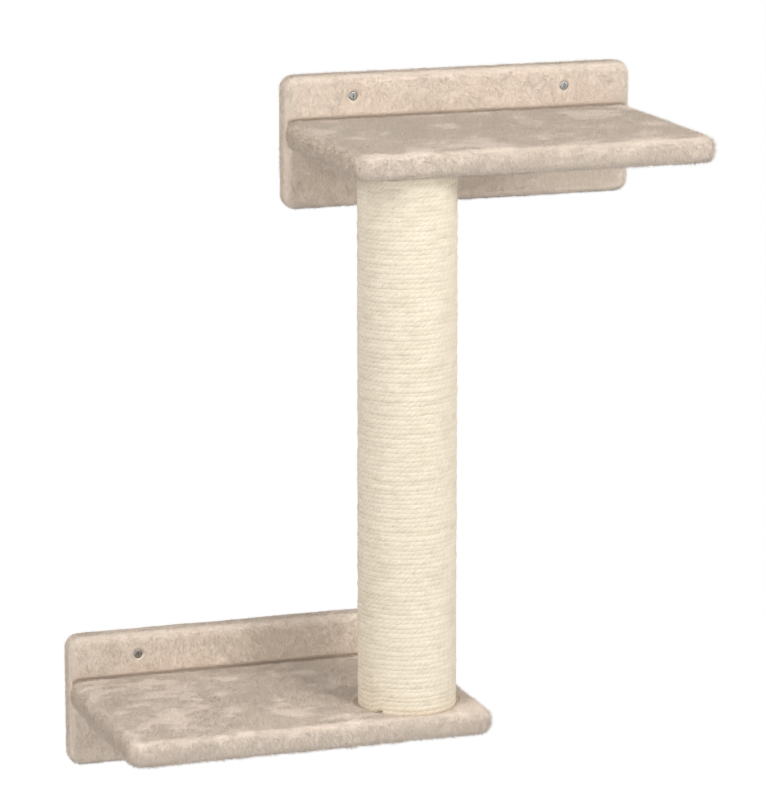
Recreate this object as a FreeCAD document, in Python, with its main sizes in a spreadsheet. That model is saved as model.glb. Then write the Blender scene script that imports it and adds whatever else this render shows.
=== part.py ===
import FreeCAD, Part
import math
import os

import Sketcher

# Cat climbing wall: two plush-covered wall shelves joined by a sisal-wound scratching post.
# Lengths are in millimetres. X points right, Y points into the wall and Z points up. The origin
# lies on the wall plane, midway between the two screws that carry the upper shelf.

Vector = FreeCAD.Vector

# Driving dimensions, one cell each in the sheet

SIZES = {
    # Chipboard boards, alike in both shelves
    "board_width": 332,
    "board_thick": 16,
    "back_corner": 4,
    "back_height": 115,
    "shelf_corner": 8,
    "shelf_depth": 212,
    "shelf_height": 58,
    # Plush covers: the pile's outer face, its rounding, and the hem folded onto the wall side
    "plush_thick": 4,
    "back_round": 7,
    "shelf_round": 10,
    "hem_width": 12,
    "hem_thick": 2,
    "seat_thick": 1,
    "cover_gap": 0.2,
    "recess_gap": 0.5,
    # Screws into the wall, through each back board. The lower right one stands behind the post.
    "wall_screw_spacing": 208,
    "hidden_screw_offset": 118,
    "wall_screw_height": 25,
    "wall_screw_head": 9.4,
    "wall_screw_head_height": 3,
    "wall_screw_head_round": 1.8,
    "wall_screw_shank": 3.7,
    "wall_screw_thread": 5,
    "wall_screw_reach": 42,
    "wall_screw_tip": 6,
    # Screws through each back board into the shelf's rear edge
    "shelf_screw_spacing": 130,
    "shelf_screw_head": 8,
    "shelf_screw_thread": 4,
    "shelf_screw_length": 50,
    "shelf_screw_tip": 4,
    "screw_clearance": 0.25,
    "recess_arm": 2.2,
    "recess_width": 0.9,
    "recess_depth": 1.8,
    # Staples that hold the hem
    "staple_crown": 11,
    "staple_leg": 8,
    "staple_wire": 1,
    "staple_inset": 6,
    "staple_margin": 30,
    "staple_clearance": 0.1,
    # Post: cardboard tube, end plugs and what fastens them
    "post_diameter": 90,
    "post_length": 495,
    "post_from_end": 60,
    "post_from_front": 52,
    "tube_wall": 4,
    "plug_thick": 18,
    "plug_gap": 0.2,
    "bolt_diameter": 8,
    "bolt_length": 40,
    "bolt_clearance": 0.25,
    "bolt_tip": 1,
    "countersunk_head": 16,
    "button_head": 14,
    "button_head_height": 4.4,
    "button_head_round": 2.5,
    "socket_width": 5,
    "socket_depth": 2.5,
    "washer_diameter": 24,
    "washer_thick": 2,
    "nut_flange": 24,
    "nut_flange_thick": 1.6,
    "nut_barrel": 10.4,
    "nut_barrel_length": 12,
    "thread_clearance": 0.05,
    "nail_diameter": 1.6,
    "nail_length": 17,
    "nail_point": 0.5,
    "nail_clearance": 0.1,
    # Sisal rope
    "rope_diameter": 3.7,
    "rope_spacing": 0.5,
    "rope_gap": 0.2,
    "rope_end_gap": 0.3,
}

# Counts and angles
SHELF_SCREWS = 3
STAPLE_COLUMNS = 5
STAPLE_ROWS = 2
PLUG_NAILS = 3
ROPE_SECTIONS = 5
ROPE_START_DEGREES = 246
POINTS_PER_TURN = 36
HALF_TURN = 180
FULL_TURN = 360

# The least gap that the rope keeps from itself, and the largest error that a sweep's volume may have
LEAST_ROPE_GAP = 0.4
VOLUME_ERROR_SHARE = 0.005
SAME_PLACE = 1e-6

# Places, as expressions of the sheet's cells. Those of a shelf unit count from its middle, at its wall screws.
HALF_WIDTH = "(Sizes.board_width / 2)"
SKIN = "(Sizes.cover_gap + Sizes.plush_thick)"
BACK_REAR = "(-Sizes.hem_thick)"
BACK_FRONT = f"({BACK_REAR} - Sizes.board_thick)"
BACK_SKIN_FRONT = f"({BACK_FRONT} - {SKIN})"
SHELF_FRONT = f"({BACK_FRONT} - Sizes.shelf_depth)"
SHELF_TOP = "(-Sizes.wall_screw_height)"
SHELF_UNDER = f"({SHELF_TOP} - Sizes.board_thick)"
BACK_BOTTOM = f"({SHELF_UNDER} - Sizes.shelf_height)"
BACK_TOP = f"({BACK_BOTTOM} + Sizes.back_height)"
STAPLE_ROW_GAP = "(Sizes.back_height - 2 * Sizes.staple_inset)"
STAPLE_SPAN = "(Sizes.board_width - 2 * Sizes.staple_margin)"
POST_OFFSET = f"({HALF_WIDTH} - Sizes.post_from_end)"
POST_Y = f"({SHELF_FRONT} + Sizes.post_from_front)"
POST_SEAT = "(Sizes.cover_gap + Sizes.seat_thick)"
POST_TOP = f"({SHELF_UNDER} - {POST_SEAT})"
POST_BOTTOM = f"({POST_TOP} - Sizes.post_length)"
UNIT_DROP = f"(Sizes.board_thick + 2 * {POST_SEAT} + Sizes.post_length)"
TUBE_RADIUS = "(Sizes.post_diameter / 2 - Sizes.rope_diameter - Sizes.rope_gap)"
PLUG_RADIUS = f"({TUBE_RADIUS} - Sizes.tube_wall - Sizes.plug_gap)"
BOLT_RADIUS = "(Sizes.bolt_diameter / 2)"
BOLT_HOLE = f"({BOLT_RADIUS} + Sizes.bolt_clearance)"
WALL_HOLE = "(Sizes.wall_screw_thread / 2 + Sizes.screw_clearance)"
SHELF_HOLE = "(Sizes.shelf_screw_thread / 2 + Sizes.screw_clearance)"
NAIL_HOLE = "(Sizes.nail_diameter / 2 + Sizes.nail_clearance)"

# Each unit: its name, where its middle lies at the height of its wall screws, where its left and
# right wall screws and the post stand along its width, and whether the post stands on the shelf (1)
# or under it (-1)
HALF_SPACING = "(Sizes.wall_screw_spacing / 2)"
UNITS = {
    "upper": {
        "x": "0", "z": "0", "screws": (f"(-{HALF_SPACING})", HALF_SPACING),
        "post_x": f"(-{POST_OFFSET})", "post_side": -1,
    },
    "lower": {
        "x": f"(-2 * {POST_OFFSET})", "z": f"(-{UNIT_DROP})",
        "screws": (f"(-{HALF_SPACING})", "Sizes.hidden_screw_offset"),
        "post_x": POST_OFFSET, "post_side": 1,
    },
}

doc = FreeCAD.newDocument("CatClimbingWall")
sheet = doc.addObject("Spreadsheet::Sheet", "Sizes")
for row, (alias, size) in enumerate(SIZES.items(), start=1):
    sheet.set(f"A{row}", alias)
    sheet.set(f"B{row}", str(size))
    sheet.setAlias(f"B{row}", alias)
doc.recompute()

subparts = []


def value(expression):
    """The number that an expression of the sheet's cells has now."""
    return float(sheet.evalExpression(expression))


# Helpers for bodies, sketches and features

def new_body(label, x, y, z):
    """A sub-part's body, placed at expressions of the sheet's cells."""
    body = doc.addObject("PartDesign::Body", label)
    body.Label = label
    for axis, place in zip("xyz", (x, y, z)):
        body.setExpression(f"Placement.Base.{axis}", place)
    subparts.append(body)
    return body


def origin_feature(body, role):
    return next(item for item in body.Origin.OriginFeatures if item.Role == role)


def new_sketch(body, plane, offset="0"):
    """A sketch on one of the body's origin planes, moved along that plane's normal."""
    sketch = body.newObject("Sketcher::SketchObject", f"{body.Name}_sketch")
    sketch.AttachmentSupport = [(origin_feature(body, plane), "")]
    sketch.MapMode = "FlatFace"
    sketch.setExpression("AttachmentOffset.Base.z", offset)
    return sketch


def bind(sketch, kind, *where, size):
    """Add a constraint whose size is an expression."""
    index = sketch.addConstraint(Sketcher.Constraint(kind, *where, value(size)))
    sketch.setExpression(f"Constraints[{index}]", size)


def bind_point(sketch, curve, end, x, y):
    """Tie one point of a curve to a place counted from the sketch's origin."""
    bind(sketch, "DistanceX", -1, 1, curve, end, size=x)
    bind(sketch, "DistanceY", -1, 1, curve, end, size=y)


def draw_polygon(sketch, points):
    """A closed outline through points, each a pair of expressions."""
    places = [Vector(value(x), value(y), 0) for x, y in points]
    lines = [
        sketch.addGeometry(Part.LineSegment(start, end))
        for start, end in zip(places, places[1:] + places[:1])
    ]
    for line, following in zip(lines, lines[1:] + lines[:1]):
        sketch.addConstraint(Sketcher.Constraint("Coincident", line, 2, following, 1))
    for line, (x, y) in zip(lines, points):
        bind_point(sketch, line, 1, x, y)


def draw_circle(sketch, x, y, radius):
    circle = Part.Circle(Vector(value(x), value(y), 0), Vector(0, 0, 1), value(radius))
    curve = sketch.addGeometry(circle)
    bind(sketch, "Radius", curve, size=radius)
    bind_point(sketch, curve, 3, x, y)


def draw_rectangle(sketch, low, high, radius=None, rounded=()):
    """A rectangle between two corners given as expressions.

    The corners numbered in rounded, counted anticlockwise from the low one, are arcs of one radius.
    """
    (left, bottom), (right, top) = low, high
    corners = [(left, bottom), (right, bottom), (right, top), (left, top)]
    places = [Vector(value(x), value(y), 0) for x, y in corners]
    arc_radius = value(radius) if rounded else 0
    ways = [(places[(i + 1) % 4] - places[i]).normalize() for i in range(4)]
    trims = [arc_radius if i in rounded else 0 for i in range(4)]
    lines = []
    for i in range(4):
        start = places[i] + ways[i] * trims[i]
        end = places[(i + 1) % 4] - ways[i] * trims[(i + 1) % 4]
        lines.append(sketch.addGeometry(Part.LineSegment(start, end)))
    for i in range(4):
        before = lines[i - 1]
        if i not in rounded:
            sketch.addConstraint(Sketcher.Constraint("Coincident", before, 2, lines[i], 1))
            continue
        centre = places[i] + (ways[i] - ways[i - 1]) * arc_radius
        start = math.atan2(-ways[i].y, -ways[i].x)
        circle = Part.Circle(centre, Vector(0, 0, 1), arc_radius)
        arc = sketch.addGeometry(Part.ArcOfCircle(circle, start, start + math.pi / 2))
        sketch.addConstraint(Sketcher.Constraint("Tangent", before, 2, arc, 1))
        sketch.addConstraint(Sketcher.Constraint("Tangent", arc, 2, lines[i], 1))
        bind(sketch, "Radius", arc, size=radius)
    for line in (lines[0], lines[2]):
        sketch.addConstraint(Sketcher.Constraint("Horizontal", line))
    for line in (lines[1], lines[3]):
        sketch.addConstraint(Sketcher.Constraint("Vertical", line))
    bind(sketch, "DistanceY", -1, 1, lines[0], 1, size=bottom)
    bind(sketch, "DistanceX", -1, 1, lines[1], 1, size=right)
    bind(sketch, "DistanceY", -1, 1, lines[2], 1, size=top)
    bind(sketch, "DistanceX", -1, 1, lines[3], 1, size=left)


def add_pad(body, sketch, length, midplane=False):
    """Material along the sketch's normal."""
    pad = body.newObject("PartDesign::Pad", f"{body.Name}_pad")
    pad.Profile = sketch
    pad.setExpression("Length", length)
    pad.Midplane = midplane
    doc.recompute()
    return pad


def add_pocket(body, sketch, depth, along_normal=True):
    """A cut that runs along the sketch's normal, or against it. It has to take material away."""
    whole = body.Shape.Volume
    pocket = body.newObject("PartDesign::Pocket", f"{body.Name}_pocket")
    pocket.Profile = sketch
    pocket.setExpression("Length", depth)
    pocket.Reversed = along_normal
    doc.recompute()
    if pocket.Shape.Volume > whole - SAME_PLACE:
        raise RuntimeError(f"a cut in {body.Label} takes nothing away")
    return pocket


def add_turned(body, sketch):
    """A solid turned about the sketch's vertical axis."""
    turned = body.newObject("PartDesign::Revolution", f"{body.Name}_turned")
    turned.Profile = sketch
    turned.ReferenceAxis = (sketch, ["V_Axis"])
    turned.Angle = FULL_TURN
    doc.recompute()
    return turned


def add_row(body, sketch, features, span, count, cross_span=None, cross_count=1):
    """Repeat features along the sketch's horizontal axis and, if asked, up the body's Z axis too."""
    row = body.newObject("PartDesign::LinearPattern", f"{body.Name}_row")
    row.Originals = features
    row.Direction = (sketch, ["H_Axis"])
    row.setExpression("Length", span)
    row.Occurrences = count
    if cross_span:
        row.Direction2 = (origin_feature(body, "Z_Axis"), [""])
        row.setExpression("Length2", cross_span)
        row.Occurrences2 = cross_count
    body.Tip = row
    doc.recompute()
    return row


def add_ring(body, features, count):
    """Repeat features about the body's Z axis."""
    ring = body.newObject("PartDesign::PolarPattern", f"{body.Name}_ring")
    ring.Originals = features
    ring.Axis = (origin_feature(body, "Z_Axis"), [""])
    ring.Angle = FULL_TURN
    ring.Occurrences = count
    body.Tip = ring
    doc.recompute()
    return ring


def edge_names(feature, wanted):
    """The names of the feature's edges that pass a test."""
    return [f"Edge{i}" for i, edge in enumerate(feature.Shape.Edges, start=1) if wanted(edge)]


def add_fillet(body, base, wanted, radius):
    fillet = body.newObject("PartDesign::Fillet", f"{body.Name}_fillet")
    fillet.Base = (base, edge_names(base, wanted))
    fillet.setExpression("Radius", radius)
    doc.recompute()
    return fillet


def add_chamfer(body, base, wanted, size):
    chamfer = body.newObject("PartDesign::Chamfer", f"{body.Name}_chamfer")
    chamfer.Base = (base, edge_names(base, wanted))
    chamfer.setExpression("Size", size)
    doc.recompute()
    return chamfer


def is_near(first, second):
    return abs(first - second) < SAME_PLACE


def lies_at(axis, place):
    """A test for edges that lie in one plane square to an axis."""
    low, high = f"{axis}Min", f"{axis}Max"

    def wanted(edge):
        box = edge.BoundBox
        return is_near(getattr(box, low), value(place)) and is_near(getattr(box, high), value(place))

    return wanted


def is_rim(radius, axis, place):
    """A test for the round edge of one radius in one plane."""
    in_plane = lies_at(axis, place)

    def wanted(edge):
        round_edge = isinstance(edge.Curve, Part.Circle)
        return round_edge and is_near(edge.Curve.Radius, value(radius)) and in_plane(edge)

    return wanted


def draw_cross(sketch, arm, width):
    """The outline of a cross-shaped driver recess."""
    near, far = f"({width} / 2)", arm
    quarter = [(far, near), (near, near), (near, far)]
    points = list(quarter)
    points += [(f"(-{x})", y) for x, y in reversed(quarter)]
    points += [(f"(-{x})", f"(-{y})") for x, y in quarter]
    points += [(x, f"(-{y})") for x, y in reversed(quarter)]
    draw_polygon(sketch, points)


def draw_hexagon(sketch, width):
    """A hexagon socket, from its width across flats."""
    corner = f"({width} / 2 / cos(30 deg))"
    turns = [f"({60 * i} deg)" for i in range(6)]
    draw_polygon(sketch, [(f"({corner} * cos{turn})", f"({corner} * sin{turn})") for turn in turns])


# The two shelf units

def make_back_board(name, unit):
    body = new_body(f"{name}_back_board", unit["x"], "0", unit["z"])
    outline = new_sketch(body, "XZ_Plane", f"(-{BACK_REAR})")
    low, high = (f"(-{HALF_WIDTH})", BACK_BOTTOM), (HALF_WIDTH, BACK_TOP)
    draw_rectangle(outline, low, high, "Sizes.back_corner", rounded=(0, 1, 2, 3))
    add_pad(body, outline, "Sizes.board_thick")

    holes = new_sketch(body, "XZ_Plane", f"(-{BACK_REAR})")
    for place in unit["screws"]:
        draw_circle(holes, place, "0", WALL_HOLE)
    for i in range(SHELF_SCREWS):
        place = f"({i - (SHELF_SCREWS - 1) / 2} * Sizes.shelf_screw_spacing)"
        draw_circle(holes, place, f"({SHELF_UNDER} + Sizes.board_thick / 2)", SHELF_HOLE)
    drilled = add_pocket(body, holes, "Sizes.board_thick")
    sink = "(Sizes.shelf_screw_head / 2 - Sizes.shelf_screw_thread / 2)"
    add_chamfer(body, drilled, is_rim(SHELF_HOLE, "Y", BACK_REAR), sink)

    legs = new_sketch(body, "XZ_Plane", f"(-{BACK_REAR})")
    inner = "(Sizes.staple_crown / 2 - Sizes.staple_wire - Sizes.staple_clearance)"
    outer = "(Sizes.staple_crown / 2 + Sizes.staple_clearance)"
    half = "(Sizes.staple_wire / 2 + Sizes.staple_clearance)"
    level = f"({BACK_BOTTOM} + Sizes.staple_inset)"
    middle = f"(-{STAPLE_SPAN} / 2)"
    draw_rectangle(legs, (f"({middle} - {outer})", f"({level} - {half})"),
                   (f"({middle} - {inner})", f"({level} + {half})"))
    draw_rectangle(legs, (f"({middle} + {inner})", f"({level} - {half})"),
                   (f"({middle} + {outer})", f"({level} + {half})"))
    depth = f"(Sizes.staple_leg + {BACK_REAR} + Sizes.staple_clearance)"
    slots = add_pocket(body, legs, depth)
    add_row(body, legs, [slots], STAPLE_SPAN, STAPLE_COLUMNS, STAPLE_ROW_GAP, STAPLE_ROWS)


def make_shelf_board(name, unit):
    body = new_body(f"{name}_shelf_board", unit["x"], "0", unit["z"])
    outline = new_sketch(body, "XY_Plane", SHELF_UNDER)
    low, high = (f"(-{HALF_WIDTH})", SHELF_FRONT), (HALF_WIDTH, BACK_FRONT)
    draw_rectangle(outline, low, high, "Sizes.shelf_corner", rounded=(0, 1))
    add_pad(body, outline, "Sizes.board_thick")

    post_hole = new_sketch(body, "XY_Plane", SHELF_UNDER)
    draw_circle(post_hole, unit["post_x"], POST_Y, BOLT_HOLE)
    drilled = add_pocket(body, post_hole, "Sizes.board_thick")
    if unit["post_side"] < 0:
        sink = f"(Sizes.countersunk_head / 2 - {BOLT_RADIUS})"
        add_chamfer(body, drilled, is_rim(BOLT_HOLE, "Z", SHELF_TOP), sink)

    pilots = new_sketch(body, "XZ_Plane", f"(-{BACK_FRONT})")
    radius = "(Sizes.shelf_screw_thread / 2 + Sizes.thread_clearance)"
    for i in range(SHELF_SCREWS):
        place = f"({i - (SHELF_SCREWS - 1) / 2} * Sizes.shelf_screw_spacing)"
        draw_circle(pilots, place, f"({SHELF_UNDER} + Sizes.board_thick / 2)", radius)
    add_pocket(body, pilots, "(Sizes.shelf_screw_length - Sizes.board_thick + Sizes.screw_clearance)")


def make_back_cover(name, unit):
    """Plush glued round a back board's front and edges, its hem folded onto the wall side."""
    body = new_body(f"{name}_back_cover", unit["x"], "0", unit["z"])
    side = f"({HALF_WIDTH} + {SKIN})"
    outline = new_sketch(body, "XZ_Plane")
    low = (f"(-{side})", f"({BACK_BOTTOM} - {SKIN})")
    high = (side, f"({BACK_TOP} + {SKIN})")
    draw_rectangle(outline, low, high, f"(Sizes.back_corner + {SKIN})", rounded=(0, 1, 2, 3))
    block = add_pad(body, outline, f"(-{BACK_SKIN_FRONT})")
    add_fillet(body, block, lies_at("Y", BACK_SKIN_FRONT), "Sizes.back_round")

    gap = "Sizes.cover_gap"
    inside = f"({HALF_WIDTH} + {gap})"
    cavity = new_sketch(body, "XZ_Plane", f"(-{BACK_REAR} - {gap})")
    low = (f"(-{inside})", f"({BACK_BOTTOM} - {gap})")
    high = (inside, f"({BACK_TOP} + {gap})")
    draw_rectangle(cavity, low, high, f"(Sizes.back_corner + {gap})", rounded=(0, 1, 2, 3))
    add_pocket(body, cavity, f"(Sizes.board_thick + 2 * {gap})")

    opening = new_sketch(body, "XZ_Plane")
    bare = f"({HALF_WIDTH} - Sizes.hem_width)"
    low = (f"(-{bare})", f"({BACK_BOTTOM} + Sizes.hem_width)")
    high = (bare, f"({BACK_TOP} - Sizes.hem_width)")
    draw_rectangle(opening, low, high)
    add_pocket(body, opening, "Sizes.hem_thick")

    window = new_sketch(body, "XZ_Plane", f"(-{BACK_FRONT})")
    low = (f"(-{inside})", f"({SHELF_UNDER} - {gap})")
    high = (inside, f"({SHELF_TOP} + {gap})")
    draw_rectangle(window, low, high)
    add_pocket(body, window, SKIN)

    eyes = new_sketch(body, "XZ_Plane", f"(-{BACK_FRONT})")
    for place in unit["screws"]:
        draw_circle(eyes, place, "0", "(Sizes.wall_screw_head / 2 + Sizes.recess_gap)")
    add_pocket(body, eyes, SKIN)

    slots = new_sketch(body, "XZ_Plane")
    half_crown = "(Sizes.staple_crown / 2 + Sizes.staple_clearance)"
    half_wire = "(Sizes.staple_wire / 2 + Sizes.staple_clearance)"
    level = f"({BACK_BOTTOM} + Sizes.staple_inset)"
    middle = f"(-{STAPLE_SPAN} / 2)"
    draw_rectangle(slots, (f"({middle} - {half_crown})", f"({level} - {half_wire})"),
                   (f"({middle} + {half_crown})", f"({level} + {half_wire})"))
    slot = add_pocket(body, slots, "Sizes.hem_thick")
    add_row(body, slots, [slot], STAPLE_SPAN, STAPLE_COLUMNS, STAPLE_ROW_GAP, STAPLE_ROWS)


def make_shelf_cover(name, unit):
    """Plush glued round a shelf board, pressed thin under the end of the post."""
    body = new_body(f"{name}_shelf_cover", unit["x"], "0", unit["z"])
    gap = "Sizes.cover_gap"
    side = f"({HALF_WIDTH} + {SKIN})"
    under, over = f"({SHELF_UNDER} - {SKIN})", f"({SHELF_TOP} + {SKIN})"
    front, rear = f"({SHELF_FRONT} - {SKIN})", f"({BACK_SKIN_FRONT} - {gap})"
    outline = new_sketch(body, "XY_Plane", under)
    low, high = (f"(-{side})", front), (side, rear)
    draw_rectangle(outline, low, high, f"(Sizes.shelf_corner + {SKIN})", rounded=(0, 1))
    block = add_pad(body, outline, f"({over} - {under})")
    flat_rims = [lies_at("Z", under), lies_at("Z", over)]
    at_rear = lies_at("Y", rear)
    add_fillet(body, block, lambda edge: any(rim(edge) for rim in flat_rims) and not at_rear(edge),
               "Sizes.shelf_round")

    inside = f"({HALF_WIDTH} + {gap})"
    cavity = new_sketch(body, "XY_Plane", f"({SHELF_UNDER} - {gap})")
    low, high = (f"(-{inside})", f"({SHELF_FRONT} - {gap})"), (inside, rear)
    draw_rectangle(cavity, low, high, f"(Sizes.shelf_corner + {gap})", rounded=(0, 1))
    add_pocket(body, cavity, f"(Sizes.board_thick + 2 * {gap})")

    on_top = unit["post_side"] > 0
    face, board_face = (over, SHELF_TOP) if on_top else (under, SHELF_UNDER)
    recess = new_sketch(body, "XY_Plane", face)
    draw_circle(recess, unit["post_x"], POST_Y, "(Sizes.post_diameter / 2 + Sizes.recess_gap)")
    add_pocket(body, recess, "(Sizes.plush_thick - Sizes.seat_thick)", along_normal=not on_top)
    bolt_way = new_sketch(body, "XY_Plane", board_face)
    draw_circle(bolt_way, unit["post_x"], POST_Y, BOLT_HOLE)
    add_pocket(body, bolt_way, SKIN, along_normal=on_top)
    if on_top:
        washer_pit = new_sketch(body, "XY_Plane", SHELF_UNDER)
        draw_circle(washer_pit, unit["post_x"], POST_Y, "(Sizes.washer_diameter / 2 + Sizes.recess_gap)")
        add_pocket(body, washer_pit, SKIN, along_normal=False)


def make_wall_screws(name, unit):
    """Two round-headed screws whose threads stand out of the wall side."""
    left, right = unit["screws"]
    body = new_body(f"{name}_wall_screws", f"({unit['x']} + {left})", "0", unit["z"])
    head, shank, thread = [f"(Sizes.wall_screw_{part} / 2)" for part in ("head", "shank", "thread")]
    head_top = f"({BACK_FRONT} - Sizes.wall_screw_head_height)"
    point = "Sizes.wall_screw_reach"
    profile = new_sketch(body, "XY_Plane")
    draw_polygon(profile, [
        ("0", head_top), (head, head_top), (head, BACK_FRONT), (shank, BACK_FRONT), (shank, "0"),
        (thread, "0"), (thread, f"({point} - Sizes.wall_screw_tip)"), ("0", point),
    ])
    turned = add_turned(body, profile)
    domed = add_fillet(body, turned, is_rim(head, "Y", head_top), "Sizes.wall_screw_head_round")
    cross = new_sketch(body, "XZ_Plane", f"(-{head_top})")
    draw_cross(cross, "Sizes.recess_arm", "Sizes.recess_width")
    recess = add_pocket(body, cross, "Sizes.recess_depth", along_normal=False)
    add_row(body, profile, [turned, domed, recess], f"({right} - {left})", 2)


def make_shelf_screws(name, unit):
    """Countersunk screws from the wall side through the back board into the shelf's rear edge."""
    span = f"({SHELF_SCREWS - 1} * Sizes.shelf_screw_spacing)"
    body = new_body(f"{name}_shelf_screws", f"({unit['x']} - {span} / 2)", "0",
                    f"({unit['z']} + {SHELF_UNDER} + Sizes.board_thick / 2)")
    head, thread = "(Sizes.shelf_screw_head / 2)", "(Sizes.shelf_screw_thread / 2)"
    neck = f"({BACK_REAR} - ({head} - {thread}))"
    point = f"({BACK_REAR} - Sizes.shelf_screw_length)"
    profile = new_sketch(body, "XY_Plane")
    draw_polygon(profile, [
        ("0", BACK_REAR), (head, BACK_REAR), (thread, neck),
        (thread, f"({point} + Sizes.shelf_screw_tip)"), ("0", point),
    ])
    turned = add_turned(body, profile)
    cross = new_sketch(body, "XZ_Plane", f"(-{BACK_REAR})")
    draw_cross(cross, "Sizes.recess_arm", "Sizes.recess_width")
    recess = add_pocket(body, cross, "Sizes.recess_depth")
    add_row(body, profile, [turned, recess], span, SHELF_SCREWS)


def make_staples(name, unit):
    """Wire staples that hold the hem to the back board, in a row along its bottom and its top."""
    level = f"({unit['z']} + {BACK_BOTTOM} + Sizes.staple_inset)"
    body = new_body(f"{name}_staples", f"({unit['x']} - {STAPLE_SPAN} / 2)", "0", level)
    outer, wire, tip = "(Sizes.staple_crown / 2)", "Sizes.staple_wire", "(-Sizes.staple_leg)"
    inner = f"({outer} - {wire})"
    profile = new_sketch(body, "XY_Plane")
    draw_polygon(profile, [
        (f"(-{outer})", "0"), (f"(-{outer})", tip), (f"(-{inner})", tip), (f"(-{inner})", f"(-{wire})"),
        (inner, f"(-{wire})"), (inner, tip), (outer, tip), (outer, "0"),
    ])
    staple = add_pad(body, profile, wire, midplane=True)
    add_row(body, profile, [staple], STAPLE_SPAN, STAPLE_COLUMNS, STAPLE_ROW_GAP, STAPLE_ROWS)


# The post

POST_X = UNITS["upper"]["post_x"]


def make_tube():
    """Cardboard core of the post, with nail holes through its wall at both ends."""
    body = new_body("post_tube", POST_X, POST_Y, POST_BOTTOM)
    ring = new_sketch(body, "XY_Plane")
    draw_circle(ring, "0", "0", TUBE_RADIUS)
    draw_circle(ring, "0", "0", f"({TUBE_RADIUS} - Sizes.tube_wall)")
    add_pad(body, ring, "Sizes.post_length")
    for level in ("(Sizes.plug_thick / 2)", "(Sizes.post_length - Sizes.plug_thick / 2)"):
        nail_way = new_sketch(body, "YZ_Plane")
        draw_circle(nail_way, "0", level, NAIL_HOLE)
        hole = add_pocket(body, nail_way, f"({TUBE_RADIUS} + Sizes.rope_gap)")
        add_ring(body, [hole], PLUG_NAILS)


def end_place(end):
    """Where an end of the post lies, and the way from there into the post."""
    return (POST_TOP, "-") if end == "upper" else (POST_BOTTOM, "+")


def make_plug(end):
    """Wooden disc in an end of the tube, bored for a flanged nut from its inner side."""
    place, inward = end_place(end)
    body = new_body(f"{end}_post_plug", POST_X, POST_Y, place)
    thick = "Sizes.plug_thick"
    disc = new_sketch(body, "XY_Plane", f"(-{thick})" if inward == "-" else "0")
    draw_circle(disc, "0", "0", PLUG_RADIUS)
    draw_circle(disc, "0", "0", BOLT_HOLE)
    add_pad(body, disc, thick)
    barrel = new_sketch(body, "XY_Plane", f"(0 {inward} {thick})")
    draw_circle(barrel, "0", "0", "(Sizes.nut_barrel / 2 + Sizes.plug_gap)")
    add_pocket(body, barrel, "Sizes.nut_barrel_length", along_normal=inward == "-")
    nail_way = new_sketch(body, "YZ_Plane", f"({TUBE_RADIUS} - Sizes.nail_length)")
    draw_circle(nail_way, "0", f"(0 {inward} {thick} / 2)", NAIL_HOLE)
    hole = add_pocket(body, nail_way, "Sizes.nail_length")
    add_ring(body, [hole], PLUG_NAILS)


def make_nut(end):
    """Flanged nut pushed into a plug from inside the tube."""
    place, inward = end_place(end)
    body = new_body(f"{end}_post_nut", POST_X, POST_Y, place)
    bore = f"({BOLT_RADIUS} + Sizes.thread_clearance)"
    seat = f"(0 {inward} Sizes.plug_thick)"
    mouth = f"(0 {inward} (Sizes.plug_thick - Sizes.nut_barrel_length + Sizes.plug_gap))"
    back = f"(0 {inward} (Sizes.plug_thick + Sizes.nut_flange_thick))"
    barrel, flange = "(Sizes.nut_barrel / 2)", "(Sizes.nut_flange / 2)"
    profile = new_sketch(body, "XZ_Plane")
    draw_polygon(profile, [
        (bore, mouth), (barrel, mouth), (barrel, seat), (flange, seat), (flange, back), (bore, back),
    ])
    add_turned(body, profile)


def make_nails(end):
    """Nails through the tube's wall into a plug, under the rope."""
    place, inward = end_place(end)
    body = new_body(f"{end}_plug_nails", POST_X, POST_Y, f"({place} {inward} Sizes.plug_thick / 2)")
    radius = "(Sizes.nail_diameter / 2)"
    point = f"({TUBE_RADIUS} - Sizes.nail_length + Sizes.nail_clearance)"
    shank = new_sketch(body, "YZ_Plane", point)
    draw_circle(shank, "0", "0", radius)
    nail = add_pad(body, shank, f"({TUBE_RADIUS} - {point})")
    pointed = add_chamfer(body, nail, is_rim(radius, "X", point), "Sizes.nail_point")
    add_ring(body, [nail, pointed], PLUG_NAILS)


def make_upper_bolt():
    """Countersunk bolt set in the upper shelf under its plush, pointing down into the post."""
    body = new_body("upper_post_bolt", POST_X, POST_Y, SHELF_TOP)
    head = "(Sizes.countersunk_head / 2)"
    tip = "(-Sizes.bolt_length)"
    profile = new_sketch(body, "XZ_Plane")
    draw_polygon(profile, [
        ("0", "0"), (head, "0"), (BOLT_RADIUS, f"(-({head} - {BOLT_RADIUS}))"),
        (BOLT_RADIUS, f"({tip} + Sizes.bolt_tip)"), (f"({BOLT_RADIUS} - Sizes.bolt_tip)", tip), ("0", tip),
    ])
    add_turned(body, profile)
    socket = new_sketch(body, "XY_Plane")
    draw_hexagon(socket, "Sizes.socket_width")
    add_pocket(body, socket, "Sizes.socket_depth", along_normal=False)


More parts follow.
